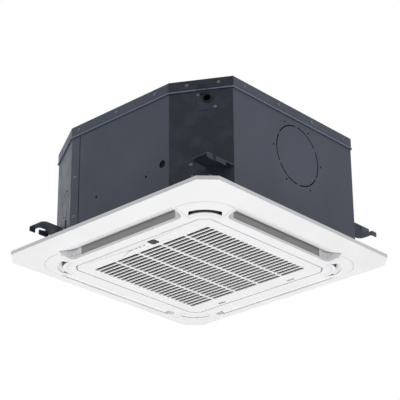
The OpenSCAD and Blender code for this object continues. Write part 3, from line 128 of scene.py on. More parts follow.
class Shader:
    """A material under construction around one Principled shader."""

    def __init__(self, name, colour, rough, metal=0.0, level=0.5):
        self.material = bpy.data.materials.new(name)
        self.material.use_nodes = True
        self.tree = self.material.node_tree
        self.tree.nodes.clear()
        self.skin = self.tree.nodes.new("ShaderNodeBsdfPrincipled")
        self.end = self.tree.nodes.new("ShaderNodeOutputMaterial")
        self.tree.links.new(self.skin.outputs["BSDF"], self.end.inputs["Surface"])
        self.set(Roughness=rough, Metallic=metal)
        self.skin.inputs["Base Color"].default_value = (*colour, 1.0)
        self.skin.inputs["Specular IOR Level"].default_value = level
        self.material.diffuse_color = (*colour, 1.0)
        self.place = self.tree.nodes.new("ShaderNodeTexCoord").outputs["Object"]
        FINISHES[name] = self.material

    def set(self, **values):
        for key, value in values.items():
            self.skin.inputs[key.replace("_", " ")].default_value = value

    def add(self, kind, sockets=(), **settings):
        node = self.tree.nodes.new(kind)
        for key, value in settings.items():
            setattr(node, key, value)
        for key, value in dict(sockets).items():
            if isinstance(value, bpy.types.NodeSocket):
                self.tree.links.new(value, node.inputs[key])
            else:
                node.inputs[key].default_value = value
        return node.outputs

    def stretched(self, scale):
        return self.add("ShaderNodeMapping", {"Vector": self.place, "Scale": scale})[0]

    def noise(self, scale, detail=2.0, place=None):
        return self.add("ShaderNodeTexNoise", {
            "Vector": place or self.place, "Scale": scale, "Detail": detail})["Fac"]

    def span(self, value, low, high, from_low=0.3, from_high=0.7):
        return self.add("ShaderNodeMapRange", {
            "Value": value, "From Min": from_low, "From Max": from_high, "To Min": low, "To Max": high})[0]

    def blend(self, share, first, second):
        mix = self.tree.nodes.new("ShaderNodeMix")
        mix.data_type = "RGBA"
        for key, value in ((0, share), (6, first), (7, second)):
            if isinstance(value, bpy.types.NodeSocket):
                self.tree.links.new(value, mix.inputs[key])
            else:
                mix.inputs[key].default_value = value if key == 0 else (*value, 1.0)
        return mix.outputs[2]

    def colour(self, socket):
        self.tree.links.new(socket, self.skin.inputs["Base Color"])

    def rough(self, socket):
        self.tree.links.new(socket, self.skin.inputs["Roughness"])

    def relief(self, height, strength, distance):
        bump = self.add("ShaderNodeBump", {"Height": height, "Strength": strength, "Distance": distance})
        self.tree.links.new(bump[0], self.skin.inputs["Normal"])


def shade(colour, factor):
    return tuple(min(1.0, c*factor) for c in colour)


def paint_finish(colour):
    """Dark coat on galvanised sheet, with faint clouds, an orange peel relief, painted shade with mottled
    marks on the near corner and a painted highlight along the flange's bead.
    """
    made = Shader("casing_paint", colour, 0.42, level=0.2)
    clouds = made.span(made.noise(6.0, 5.0), 0.0, 1.0, 0.35, 0.68)
    body = made.blend(clouds, shade(colour, 0.88), shade(colour, 1.1))
    # the near corner's wall is painted darker as painted shade, with mottled marks on it
    corner = made.add("ShaderNodeVectorMath", {0: made.place, 1: CORNER_WAY}, operation="DOT_PRODUCT")[1]
    near = made.add("ShaderNodeMath", {0: corner, 1: CORNER_REACH}, operation="GREATER_THAN")[0]
    marks = made.span(made.noise(30.0, 6.0), 0.0, 1.0, 0.44, 0.66)
    corner_shade_mottled = made.blend(marks, shade(colour, 0.42), shade(colour, 0.66))
    # the bead along the flange gets a painted highlight, a much lighter band of the coat
    height = made.add("ShaderNodeSeparateXYZ", {0: made.place})[2]
    bead_highlight = made.add("ShaderNodeMath", {0: height, 1: BEAD_Z, 2: BEAD_HALF}, operation="COMPARE")[0]
    made.colour(made.blend(bead_highlight, made.blend(near, body, corner_shade_mottled), shade(colour, 2.8)))
    made.rough(made.span(made.noise(24.0, 3.0), 0.34, 0.5))
    made.relief(made.noise(900.0), 0.12, 0.0004)


def plastic_finish(name, colour, rough, grain=1600.0, strength=0.08, level=0.5):
    """Moulded plastic with a fine spark eroded grain and slightly uneven gloss."""
    made = Shader(name, colour, rough, level=level)
    clouds = made.span(made.noise(11.0, 4.0), 0.0, 1.0)
    made.colour(made.blend(clouds, shade(colour, 0.97), shade(colour, 1.02)))
    made.rough(made.span(made.noise(60.0, 3.0), rough - 0.05, rough + 0.05))
    made.relief(made.noise(grain), strength, 0.0003)
    return made


def metal_finish(name, colour, rough, stretch=(1.0, 1.0, 1.0), grain=300.0):
    """Bare or plated metal, with drawn lines along one direction and duller patches."""
    made = Shader(name, colour, rough, metal=1.0)
    patches = made.span(made.noise(30.0, 4.0), 0.0, 1.0)
    made.colour(made.blend(patches, shade(colour, 0.72), shade(colour, 1.08)))
    lines = made.noise(grain, 3.0, made.stretched(stretch))
    made.rough(made.span(lines, rough - 0.1, rough + 0.14))
    made.relief(lines, 0.06, 0.0003)
    return made


def zinc_finish():
    """Galvanised sheet with its spangle."""
    made = Shader("sheet_zinc", (0.52, 0.54, 0.56), 0.4, metal=1.0)
    cells = made.add("ShaderNodeTexVoronoi", {"Vector": made.place, "Scale": 95.0})
    grey = made.add("ShaderNodeSeparateColor", {"Color": cells["Color"]})[0]
    made.colour(made.blend(grey, (0.40, 0.42, 0.44), (0.62, 0.64, 0.66)))
    made.rough(made.span(grey, 0.28, 0.5, 0.0, 1.0))
    made.relief(made.noise(500.0), 0.05, 0.0003)


def foam_finish(name, colour):
    """Expanded foam, with the outlines of its beads."""
    made = Shader(name, colour, 0.85, level=0.2)
    beads = made.add("ShaderNodeTexVoronoi", {
        "Vector": made.place, "Scale": 260.0}, feature="DISTANCE_TO_EDGE")[0]
    edge = made.span(beads, 0.0, 1.0, 0.0, 0.12)
    made.colour(made.blend(edge, shade(colour, 0.78), colour))
    made.relief(edge, 0.35, 0.0008)


def copper_finish():
    """Drawn copper tube that has begun to darken."""
    made = metal_finish("copper", (0.72, 0.37, 0.22), 0.32, (1.0, 1.0, 4.0))
    dull = made.span(made.noise(45.0, 5.0), 0.0, 1.0, 0.45, 0.66)
    made.colour(made.blend(dull, (0.72, 0.37, 0.22), (0.34, 0.17, 0.11)))


def board_finish():
    """Green circuit board with paler tracks."""
    made = Shader("board_green", (0.02, 0.11, 0.05), 0.35)
    tracks = made.add("ShaderNodeTexBrick", {
        "Vector": made.place, "Color1": (0.016, 0.10, 0.045, 1.0), "Color2": (0.022, 0.12, 0.055, 1.0),
        "Mortar": (0.06, 0.24, 0.11, 1.0), "Scale": 160.0, "Mortar Size": 0.06})
    made.colour(tracks["Color"])
    made.relief(tracks["Fac"], 0.2, 0.0002)


def lens_finish():
    """The four indicator lenses: two brown ones, a yellowish one and a grey one."""
    brown_to, yellow_to = -0.014, -0.001
    made = Shader("lens_plastic", (0.10, 0.05, 0.04), 0.25)
    across = made.add("ShaderNodeSeparateXYZ", {0: made.place})[0]
    dust = made.span(made.noise(900.0), 0.85, 1.1)
    past_brown = made.add("ShaderNodeMath", {0: across, 1: brown_to}, operation="GREATER_THAN")[0]
    kind = made.blend(past_brown, (0.12, 0.05, 0.04), (0.14, 0.10, 0.05))
    past_yellow = made.add("ShaderNodeMath", {0: across, 1: yellow_to}, operation="GREATER_THAN")[0]
    last = made.blend(past_yellow, kind, (0.12, 0.12, 0.12))
    made.colour(made.add("ShaderNodeHueSaturation", {"Color": last, "Value": dust})[0])
    made.set(Coat_Weight=0.5, Coat_Roughness=0.1)


# Geometry nodes

class Growth:
    """A geometry node tree under construction, with its named inputs."""

    def __init__(self, name, inputs):
        self.group = bpy.data.node_groups.new(name, "GeometryNodeTree")
        ports = self.group.interface
        ports.new_socket("Geometry", in_out="INPUT", socket_type="NodeSocketGeometry")
        ports.new_socket("Geometry", in_out="OUTPUT", socket_type="NodeSocketGeometry")
        for label, kind in inputs:
            ports.new_socket(label, in_out="INPUT", socket_type="NodeSocket" + kind)
        ports.new_socket("Finish", in_out="INPUT", socket_type="NodeSocketMaterial")
        self.given = self.group.nodes.new("NodeGroupInput").outputs
        self.result = self.group.nodes.new("NodeGroupOutput")

    def add(self, kind, sockets=(), **settings):
        node = self.group.nodes.new("GeometryNode" + kind if not kind.startswith("Shader") else kind)
        for key, value in settings.items():
            setattr(node, key, value)
        for key, value in dict(sockets).items():
            for part in value if isinstance(value, list) else [value]:
                if isinstance(part, bpy.types.NodeSocket):
                    self.group.links.new(part, node.inputs[key])
                else:
                    node.inputs[key].default_value = part
        return node.outputs

    def sum(self, first, second, operation="ADD"):
        return self.add("ShaderNodeMath", {0: first, 1: second}, operation=operation)[0]

    def vector(self, x=0.0, y=0.0, z=0.0):
        return self.add("ShaderNodeCombineXYZ", {0: x, 1: y, 2: z})[0]

    def finish(self, geometry):
        real = self.add("RealizeInstances", {0: geometry})[0]
        painted = self.add("SetMaterial", {"Geometry": real, "Material": self.given["Finish"]})[0]
        self.group.links.new(painted, self.result.inputs[0])


def link(name, mesh):
    piece = bpy.data.objects.new(name, mesh)
    bpy.context.scene.collection.objects.link(piece)
    return piece


def grown(name, tree, finish, values=(), seed=None):
    """Runs a tree on a seed mesh and keeps the result as a plain mesh with no modifier."""
    piece = link(name, seed or bpy.data.meshes.new(name))
    modifier = piece.modifiers.new("Growth", "NODES")
    modifier.node_group = tree.group
    given = {**dict(values), "Finish": FINISHES[finish]}
    for port in tree.group.interface.items_tree:
        if port.in_out == "INPUT" and port.name in given:
            modifier[port.identifier] = given[port.name]
    piece.update_tag()
    bpy.context.view_layer.update()
    evaluated = piece.evaluated_get(bpy.context.evaluated_depsgraph_get())
    plain = bpy.data.meshes.new_from_object(evaluated)
    piece.modifiers.clear()
    piece.data = plain
    plain.name = name
    return piece


# Meshes

def body_of(node):
    return frame["nodes"][node]["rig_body"]


def settle(piece, body, nodes=()):
    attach(piece, body)
    if nodes:
        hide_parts(*nodes)
    return piece


def merged(node):
    """The node's shape as one joined mesh, without the edges that cross its flat faces."""
    shape = bmesh.new()
    shape.from_mesh(frame["nodes"][node].data)
    bmesh.ops.remove_doubles(shape, verts=shape.verts, dist=MERGE)
    bmesh.ops.dissolve_limit(
        shape, angle_limit=math.radians(0.2), verts=shape.verts, edges=shape.edges, delimit={"NORMAL"})
    return shape


def crease(shape, angle):
    for face in shape.faces:
        face.smooth = True
    for edge in shape.edges:
        edge.smooth = len(edge.link_faces) != 2 or edge.calc_face_angle() < math.radians(angle)


def rounded(piece, width, angle=32.0, segments=2):
    bevel = piece.modifiers.new("Rounding", "BEVEL")
    bevel.width = width
    bevel.segments = segments
    bevel.limit_method = "ANGLE"
    bevel.angle_limit = math.radians(angle)
    bevel.miter_outer = "MITER_ARC"
    bevel.harden_normals = True
    return piece


def dressed(node, name, finish, width, angle=32.0, edges=None):
    """A piece with the node's shape, its edges rounded and its curves smooth, that stands for the node.

    A sheet names a finish for its edges too, and its faces stay flat.
    """
    shape = merged(node)
    crease(shape, 0.0 if edges else angle)
    mesh = bpy.data.meshes.new(name)
    shape.to_mesh(mesh)
    shape.free()
    mesh.materials.append(FINISHES[finish])
    piece = link(name, mesh)
    if width:
        rounded(piece, width, angle)
    if edges:
        mesh.materials.append(FINISHES[edges])
        piece.modifiers[0].material = 1
    return settle(piece, body_of(node), [node])


def painted(node, finish):
    """The CAD node itself, with a better finish in its own slots."""
    mesh = frame["nodes"][node].data
    if not mesh.materials:
        mesh.materials.append(FINISHES[finish])
    for index in range(len(mesh.materials)):
        mesh.materials[index] = FINISHES[finish]


# Screws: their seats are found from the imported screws, one loose part for each

WALLS = [Vector((math.cos(a), math.sin(a), 0.0)) for a in (
    math.radians(d) for d in (-90.0, -60.0586, 0.0, 60.0586, 90.0, 119.9414, 180.0, 240.0586))]
WAYS = WALLS + [Vector((0.0, 0.0, 1.0)), Vector((0.0, 0.0, -1.0))]


def islands(shape):
    left = set(shape.verts)
    while left:
        start = left.pop()
        group, edge = [start], [start]
        while edge:
            for e in edge.pop().link_edges:
                for v in e.verts:
                    if v in left:
                        left.remove(v)
                        group.append(v)
                        edge.append(v)
        yield [v.co.copy() for v in group]


def screw_seat(points):
    """Where a screw's head sits and which way it points."""
    middle = sum(points, Vector())/len(points)

    def spread(way, chosen):
        return max(((p - middle) - way*(p - middle).dot(way)).length for p in chosen)
    way = min(WAYS, key=lambda w: round(spread(w, points), 5))
    tops = [p.dot(way) for p in points]
    upper = spread(way, [p for p in points if p.dot(way) > max(tops) - MERGE])
    lower = spread(way, [p for p in points if p.dot(way) < min(tops) + MERGE])
    if lower > upper:
        way = -way
        tops = [p.dot(way) for p in points]
    low, high = ([f(p[k] for p in points) for k in range(3)] for f in (min, max))
    centre = (Vector(low) + Vector(high))/2
    return centre + way*(max(tops) - centre.dot(way)), way


def screw_tree():
    """Round headed screws with a crossed recess, one on each point of the seed."""
    tree = Growth("Screws", [
        ("Head radius", "Float"), ("Head height", "Float"), ("Shank", "Float"), ("Seed", "Int")])
    radius, height = tree.given["Head radius"], tree.given["Head height"]
    dome = tree.add("MeshUVSphere", {"Segments": 24, "Rings": 12, "Radius": radius})["Mesh"]
    flat = tree.add("Transform", {
        "Geometry": dome, "Scale": tree.vector(1.0, 1.0, tree.sum(height, radius, "DIVIDE")),
        "Translation": tree.vector(z=tree.sum(height, -1.0, "MULTIPLY"))})[0]
    shank = tree.add("MeshCylinder", {
        "Vertices": 12, "Radius": tree.sum(radius, 0.47, "MULTIPLY"), "Depth": tree.given["Shank"]})["Mesh"]
    down = tree.sum(tree.sum(tree.given["Shank"], 0.5, "MULTIPLY"), height, "ADD")
    shank = tree.add("Transform", {
        "Geometry": shank, "Translation": tree.vector(z=tree.sum(down, -1.0, "MULTIPLY"))})[0]
    long, thin = tree.sum(radius, 1.05, "MULTIPLY"), tree.sum(radius, 0.24, "MULTIPLY")
    arms = [tree.add("MeshCube", {"Size": tree.vector(a, b, tree.sum(height, 1.1, "MULTIPLY"))})["Mesh"]
            for a, b in ((long, thin), (thin, long))]
    head = tree.add("MeshBoolean", {"Mesh 1": flat, "Mesh 2": arms}, operation="DIFFERENCE")["Mesh"]
    whole = tree.add("JoinGeometry", {0: [shank, head]})[0]
    facing = tree.add("InputNamedAttribute", {"Name": "way"}, data_type="FLOAT_VECTOR")["Attribute"]
    turn = tree.group.nodes.new("FunctionNodeAlignRotationToVector")
    turn.axis = "Z"
    tree.group.links.new(facing, turn.inputs["Vector"])
    spin = tree.group.nodes.new("FunctionNodeRandomValue")
    spin.data_type = "FLOAT"
    spin.inputs[3].default_value = math.tau
    tree.group.links.new(tree.given["Seed"], spin.inputs["Seed"])
    twist = tree.group.nodes.new("FunctionNodeRotateRotation")
    twist.rotation_space = "LOCAL"
    tree.group.links.new(turn.outputs[0], twist.inputs[0])
    tree.group.links.new(tree.vector(z=spin.outputs[1]), twist.inputs[1])
    placed = tree.add("InstanceOnPoints", {
        "Points": tree.given["Geometry"], "Instance": whole, "Rotation": twist.outputs[0]})[0]
    tree.finish(placed)
    return tree


def screw_set(tree, name, node, finish, shank):
    """Stands screws in the places of the node's own."""
    sizes = bpy.context.scene.cassette_sizes
    shape = merged(node)
    seats = [screw_seat(points) for points in islands(shape)]
    shape.free()
    seats.sort(key=lambda s: tuple(round(c, 4) for c in s[0]))
    seed = bpy.data.meshes.new(name + "_seats")
    seed.from_pydata([s[0] for s in seats], [], [])
    ways = seed.attributes.new("way", "FLOAT_VECTOR", "POINT")
    for index, (_, way) in enumerate(seats):
        ways.data[index].vector = way
    piece = grown(name, tree, finish, {
        "Head radius": sizes.screw_radius, "Head height": sizes.screw_height, "Shank": shank,
        "Seed": 7}, seed)
    for face in piece.data.polygons:
        face.use_smooth = True
    piece.data.set_sharp_from_angle(angle=math.radians(35.0))
    settle(piece, body_of(node), [node])


# The intake grille, its filter, the heat exchanger's fins and the parts inside the panel's slots

def above(node, height):
    """What the node has above a height, as a mesh of its own with its cut left open."""
    shape = merged(node)
    bmesh.ops.bisect_plane(
        shape, geom=shape.verts[:] + shape.edges[:] + shape.faces[:], plane_co=(0.0, 0.0, height),
        plane_no=(0.0, 0.0, 1.0), clear_inner=True)
    return shape


def kept(shape, name, finish, angle=32.0):
    crease(shape, angle)
    mesh = bpy.data.meshes.new(name)
    shape.to_mesh(mesh)
    shape.free()
    mesh.materials.append(FINISHES[finish])
    return link(name, mesh)


def low_loops(node, height):
    """The closed outlines in which a horizontal plane cuts a node."""
    shape = merged(node)
    cut = bmesh.ops.bisect_plane(
        shape, geom=shape.verts[:] + shape.edges[:] + shape.faces[:], plane_co=(0.0, 0.0, height),
        plane_no=(0.0, 0.0, 1.0))["geom_cut"]
    edges = [e for e in cut if isinstance(e, bmesh.types.BMEdge)]
    loops, used = [], set()
    for first in edges:
        if first in used:
            continue
        used.add(first)
        loop, spot = [first.verts[0], first.verts[1]], first.verts[1]
        while True:
            after = [e for e in spot.link_edges if e in edges and e not in used]
            if not after:
                break
            used.add(after[0])
            spot = after[0].other_vert(spot)
            loop.append(spot)
        loops.append([v.co.copy() for v in loop[:-1]])
    shape.free()
    return loops


def face_tree():
    """A flat face with rows and columns of rounded slots, filled in between the outlines of the seed."""
    tree = Growth("Slotted face", [
        ("Columns", "Int"), ("Rows", "Int"), ("Column spacing", "Float"), ("Row spacing", "Float"),
        ("Slot length", "Float"), ("Slot height", "Float"), ("Thickness", "Float"), ("Middle", "Vector")])
    given = tree.given
    span_x = tree.sum(tree.sum(given["Columns"], 1.0, "SUBTRACT"), given["Column spacing"], "MULTIPLY")
    span_y = tree.sum(tree.sum(given["Rows"], 1.0, "SUBTRACT"), given["Row spacing"], "MULTIPLY")
    places = tree.add("MeshGrid", {
        "Size X": span_x, "Size Y": span_y, "Vertices X": given["Columns"],
        "Vertices Y": given["Rows"]})["Mesh"]
    slot = tree.add("CurvePrimitiveQuadrilateral", {
        "Width": given["Slot length"], "Height": given["Slot height"]})["Curve"]
    end_radius = tree.sum(given["Slot height"], 0.4999, "MULTIPLY")
    slot = tree.add("FilletCurve", {"Curve": slot, "Count": 6, "Radius": end_radius}, mode="POLY")[0]
    slots = tree.add("RealizeInstances", {0: tree.add("InstanceOnPoints", {
        "Points": places, "Instance": slot})[0]})[0]
    slots = tree.add("Transform", {"Geometry": slots, "Translation": given["Middle"]})[0]
    height = tree.group.nodes.new("ShaderNodeSeparateXYZ")
    tree.group.links.new(given["Middle"], height.inputs[0])
    outline = tree.add("MeshToCurve", {"Mesh": given["Geometry"]})[0]
    lines = tree.add("JoinGeometry", {0: [slots, outline]})[0]
    large = tree.add("Transform", {"Geometry": lines, "Scale": (FILL_SCALE,)*3})[0]
    filled = tree.add("FillCurve", {"Curve": large}, mode="TRIANGLES")[0]
    flat = tree.add("Transform", {
        "Geometry": filled, "Scale": (1.0/FILL_SCALE,)*3,
        "Translation": tree.vector(z=height.outputs[2])})[0]
    raised = tree.add("ExtrudeMesh", {
        "Mesh": flat, "Offset": tree.vector(z=1.0), "Offset Scale": given["Thickness"],
        "Individual": False})["Mesh"]
    under = tree.add("FlipFaces", {"Mesh": flat})[0]
    whole = tree.add("MergeByDistance", {
        "Geometry": tree.add("JoinGeometry", {0: [raised, under]})[0], "Distance": MERGE})[0]
    tree.finish(whole)
    return tree


def net_tree():
    """Two layers of thin threads, crossing at right angles."""
    tree = Growth("Crossed threads", [
        ("Width", "Float"), ("Depth", "Float"), ("Spacing", "Float"), ("Thread", "Float"),
        ("Middle", "Vector")])
    given = tree.given
    layers = []
    for across, along, axis in ((given["Width"], given["Depth"], 0), (given["Depth"], given["Width"], 1)):
        count = tree.sum(across, given["Spacing"], "DIVIDE")
        thin = tree.sum(given["Thread"], 0.5, "MULTIPLY")
        wide, deep = (given["Thread"], along) if axis == 0 else (along, given["Thread"])
        thread = tree.add("MeshCube", {"Size": tree.vector(wide, deep, thin)})["Mesh"]
        half = tree.sum(across, -0.5, "MULTIPLY")
        lift = tree.sum(thin, float(axis), "MULTIPLY")
        start = tree.vector(half, 0.0, lift) if axis == 0 else tree.vector(0.0, half, lift)
        step = tree.vector(given["Spacing"]) if axis == 0 else tree.vector(0.0, given["Spacing"])
        line = tree.add("MeshLine", {"Count": count, "Start Location": start, "Offset": step})["Mesh"]
        layers.append(tree.add("InstanceOnPoints", {"Points": line, "Instance": thread})[0])
    net = tree.add("JoinGeometry", {0: layers})[0]
    tree.finish(tree.add("Transform", {"Geometry": net, "Translation": given["Middle"]})[0])
    return tree


def fin_tree():
    """Upright fins that follow the seed's path, each square to it."""
    tree = Growth("Fins", [
        ("Spacing", "Float"), ("Thickness", "Float"), ("Depth", "Float"), ("Height", "Float")])
    given = tree.given
    line = tree.add("MeshToCurve", {"Mesh": given["Geometry"]})[0]
    path = tree.add("ResampleCurve", {"Curve": line, "Length": given["Spacing"]}, mode="LENGTH")[0]
    size = tree.vector(given["Thickness"], given["Depth"], given["Height"])
    fin = tree.add("MeshCube", {"Size": size})["Mesh"]
    turn = tree.group.nodes.new("FunctionNodeAlignRotationToVector")
    turn.axis = "X"
    turn.pivot_axis = "Z"
    tree.group.links.new(tree.add("InputTangent")[0], turn.inputs["Vector"])
    tree.finish(tree.add("InstanceOnPoints", {
        "Points": path, "Instance": fin, "Rotation": turn.outputs[0]})[0])
    return tree


def seeded(name, loops, closed=True):
    """Outlines as a mesh of edges alone."""
    spots, edges = [], []
    for loop in loops:
        first = len(spots)
        spots.extend(loop)
        edges.extend((first + k, first + k + 1) for k in range(len(loop) - 1))
        if closed:
            edges.append((len(spots) - 1, first))
    mesh = bpy.data.meshes.new(name)
    mesh.from_pydata(spots, edges, [])
    return mesh


def swept(name, finish, runs):
    """Closed bodies, each through a run of outlines with the same number of points."""
    shape = bmesh.new()
    for run in runs:
        rings = [[shape.verts.new(spot) for spot in ring] for ring in run]
        count = len(rings[0])
        for one, two in zip(rings, rings[1:]):
            for k in range(count):
                shape.faces.new((one[k], one[(k + 1) % count], two[(k + 1) % count], two[k]))
        shape.faces.new(rings[0])
        shape.faces.new(rings[-1])
    bmesh.ops.recalc_face_normals(shape, faces=shape.faces[:])
    return kept(shape, name, finish, 40.0)


def quarter_turned(x, y, z, turns):
    """A point turned about the panel's middle by a number of quarter turns."""
    for _ in range(turns):
        x, y = -y, x
    return (x, y + PANEL_Y, z)


def arc(centre, radius, start, end, steps):
    """Points on an arc, with its angles in degrees."""
    turns = [math.radians(start + (end - start)*k/steps) for k in range(steps + 1)]
    return [(centre[0] + radius*math.cos(a), centre[1] + radius*math.sin(a)) for a in turns]


# One operator for each piece or group of like pieces, and one for the stage

class CASSETTE_OT_finishes(bpy.types.Operator):
    """Make the materials that the pieces are dressed with"""

    bl_idname = "cassette.finishes"
    bl_label = "Finishes"

    def execute(self, context):
        colours = context.scene.cassette_colours
        paint_finish(tuple(colours.casing))
        # the casing sheets' rounded edges get a lighter coat, a painted highlight along them
        plastic_finish("casing_edge_highlight", shade(tuple(colours.casing), 2.6), 0.36)
        plastic_finish("white_plastic", tuple(colours.panel), 0.42)
        plastic_finish("duct_plastic", tuple(colours.duct), 0.6)
        plastic_finish("dark_plastic", tuple(colours.dark), 0.5)
        plastic_finish("filter_black", shade(tuple(colours.dark), 0.5), 0.8, level=0.1)
        plastic_finish("black_rubber", (0.014, 0.014, 0.015), 0.62, 500.0, 0.2, 0.3)
        window = plastic_finish("window_plastic", (0.010, 0.006, 0.007), 0.12, 400.0, 0.01)
        window.set(Coat_Weight=0.6, Coat_Roughness=0.05)
        foam_finish("foam", tuple(colours.foam))
        foam_finish("liner_foam", tuple(colours.dark))
        metal_finish("screw_steel", (0.60, 0.61, 0.62), 0.34)
        metal_finish("screw_black", (0.17, 0.18, 0.20), 0.3)
        zinc_finish()
        copper_finish()
        metal_finish("brass_nut", (0.66, 0.49, 0.22), 0.3, (1.0, 6.0, 6.0))
        metal_finish("fin_aluminium", (0.76, 0.78, 0.80), 0.38, (1.0, 1.0, 12.0))
        metal_finish("motor_steel", (0.36, 0.38, 0.40), 0.42, (1.0, 1.0, 8.0))
        board_finish()
        lens_finish()
        return {"FINISHED"}


class CASSETTE_OT_casing(bpy.types.Operator):
    """Dress the lid, the two casing sheets, the brackets and the plates on the walls"""

    bl_idname = "cassette.casing"
    bl_label = "Casing"

    def execute(self, context):
        width = context.scene.cassette_sizes.sheet_round
        for node, name in (
                ("top_cover", "lid"), ("casing_front", "front_sheet"), ("casing_rear", "rear_sheet"),
                ("hanger_brackets", "hangers"), ("cable_plate", "entry_plate")):
            dressed(node, name, "casing_paint", width, edges="casing_edge_highlight")
        dressed("pipe_plate", "pipe_cover_plate", "sheet_zinc", width)
        dressed("cable_grommet", "entry_grommet", "black_rubber", width)
        dressed("cable_tie", "entry_tie", "black_rubber", 0.0)
        return {"FINISHED"}


class CASSETTE_OT_screws(bpy.types.Operator):
    """Stand crossed screws in the seats of the casing, the lid and the panel"""

    bl_idname = "cassette.screws"
    bl_label = "Screws"

    def execute(self, context):
        tree = screw_tree()
        screw_set(tree, "lid_screws", "cover_screws", "screw_black", 0.004)
        screw_set(tree, "wall_screws", "casing_screws", "screw_black", 0.008)
        screw_set(tree, "panel_bolts", "panel_screws", "screw_steel", 0.045)
        return {"FINISHED"}


class CASSETTE_OT_panel(bpy.types.Operator):
    """Dress the panel frame, its corner covers, their air slots and the seal above it"""

    bl_idname = "cassette.panel"
    bl_label = "Panel"

    def execute(self, context):
        width = context.scene.cassette_sizes.mould_round
        dressed("panel_frame", "panel", "white_plastic", width, 26.0)
        dressed("mouth_walls", "mouth_rim", "white_plastic", width/2)
        dressed("corner_covers", "corner_caps", "white_plastic", width/3, 26.0)
        dressed("corner_vents", "corner_slots", "dark_plastic", width/3)
        painted("panel_gasket", "liner_foam")
        self.deflectors()
        return {"FINISHED"}

    def deflectors(self):
        """A sloping strip inside the outer lip of each corner slot."""
        middle, start, sweep, steps = 0.19, -84.0, 78.0, 24
        section = ((0.0609, 0.0039), (0.0609, 0.0052), (0.0506, 0.0116), (0.0500, 0.0107))
        runs = []
        for turns in range(4):
            run = []
            for k in range(steps + 1):
                angle = math.radians(start + sweep*k/steps)
                run.append([quarter_turned(
                    middle + r*math.cos(angle), r*math.sin(angle) - middle, FACE_Z + z, turns)
                    for r, z in section])
            runs.append(run)
        settle(swept("slot_deflectors", "white_plastic", runs), body_of("corner_vents"))


class CASSETTE_OT_louvers(bpy.types.Operator):
    """Dress the four louvers, the ducts behind them and their motors"""

    bl_idname = "cassette.louvers"
    bl_label = "Louvers and ducts"

    def execute(self, context):
        width = context.scene.cassette_sizes.mould_round
        for side in ("front", "right", "rear", "left"):
            dressed("louver_" + side, side + "_blade", "white_plastic", width)
            dressed("duct_" + side, side + "_duct", "duct_plastic", width/2)
        dressed("louver_motors", "blade_motors", "sheet_zinc", width/2)
        self.ends()
        return {"FINISHED"}

    def ends(self):
        """A curved cheek behind each end of each outlet, just outside the sweep of its blade."""
        start, corner, bend, back, thick = 0.148, (0.1613, 0.2533), 0.016, 0.2705, 0.0012
        low, high = FACE_Z + 0.0045, FACE_Z + 0.035
        inside, outside = (
            [(start, corner[1] - bend - grow), *arc(corner, bend + grow, -90, 0, 10),
             (corner[0] + bend + grow, back)] for grow in (0.0, thick))
        runs = []
        for turns in range(4):
            for side in (-1, 1):
                run = []
                for inner, outer in zip(inside, outside):
                    ring = ((*inner, low), (*inner, high), (*outer, high), (*outer, low))
                    run.append([quarter_turned(side*x, -y, z, turns) for x, y, z in ring])
                runs.append(run)
        settle(swept("outlet_cheeks", "white_plastic", runs), body_of("panel_frame"))


class CASSETTE_OT_grille(bpy.types.Operator):
    """Dress the intake grille with its latches, window and indicators"""

    bl_idname = "cassette.grille"
    bl_label = "Intake grille"

    def execute(self, context):
        sizes = context.scene.cassette_sizes
        width = sizes.mould_round
        loops = [loop for loop in low_loops("intake_grille", FACE_Z + GRILLE_T/4) if not self.is_slot(loop)]
        for loop in loops:
            for spot in loop:
                spot.z = FACE_Z
        face = grown("grille", face_tree(), "white_plastic", {
            "Columns": sizes.slot_columns, "Rows": sizes.slot_rows, "Column spacing": sizes.slot_pitch_x,
            "Row spacing": sizes.slot_pitch_y, "Slot length": sizes.slot_length,
            "Slot height": sizes.slot_height, "Thickness": GRILLE_T,
            "Middle": (0.0, PANEL_Y, FACE_Z)}, seeded("grille", loops))
        rounded(face, width*0.7)
        settle(face, body_of("intake_grille"), ["intake_grille"])
        fittings = kept(above("intake_grille", FACE_Z + 0.9*GRILLE_T), "grille_fittings", "white_plastic")
        rounded(fittings, width/3)
        settle(fittings, body_of("intake_grille"))
        self.filter(sizes)
        dressed("latch_left", "left_latch", "white_plastic", width/2)
        dressed("latch_right", "right_latch", "white_plastic", width/2)
        dressed("receiver_window", "remote_window", "window_plastic", width/2)
        dressed("indicator_lenses", "lenses", "lens_plastic", width/3)
        painted("display_board", "board_green")
        return {"FINISHED"}

    def is_slot(self, loop):
        wide, high = (max(p[k] for p in loop) - min(p[k] for p in loop) for k in range(2))
        return wide > 3*high

    def filter(self, sizes):
        """The filter's bars as packed, with a net of threads below them."""
        packed = frame["nodes"]["air_filter"].data
        low, high = ([f(v.co[k] for v in packed.vertices) for k in range(3)] for f in (min, max))
        bars = kept(above("air_filter", low[2] + 0.0008), "filter_bars", "filter_black")
        settle(bars, body_of("air_filter"), ["air_filter"])
        edge = 0.006
        middle = ((low[0] + high[0])/2, (low[1] + high[1])/2, low[2] + 0.0004)
        net = grown("filter_net", net_tree(), "filter_black", {
            "Width": high[0] - low[0] - edge, "Depth": high[1] - low[1] - edge, "Spacing": sizes.net_pitch,
            "Thread": sizes.net_thread, "Middle": middle})
        settle(net, body_of("air_filter"))


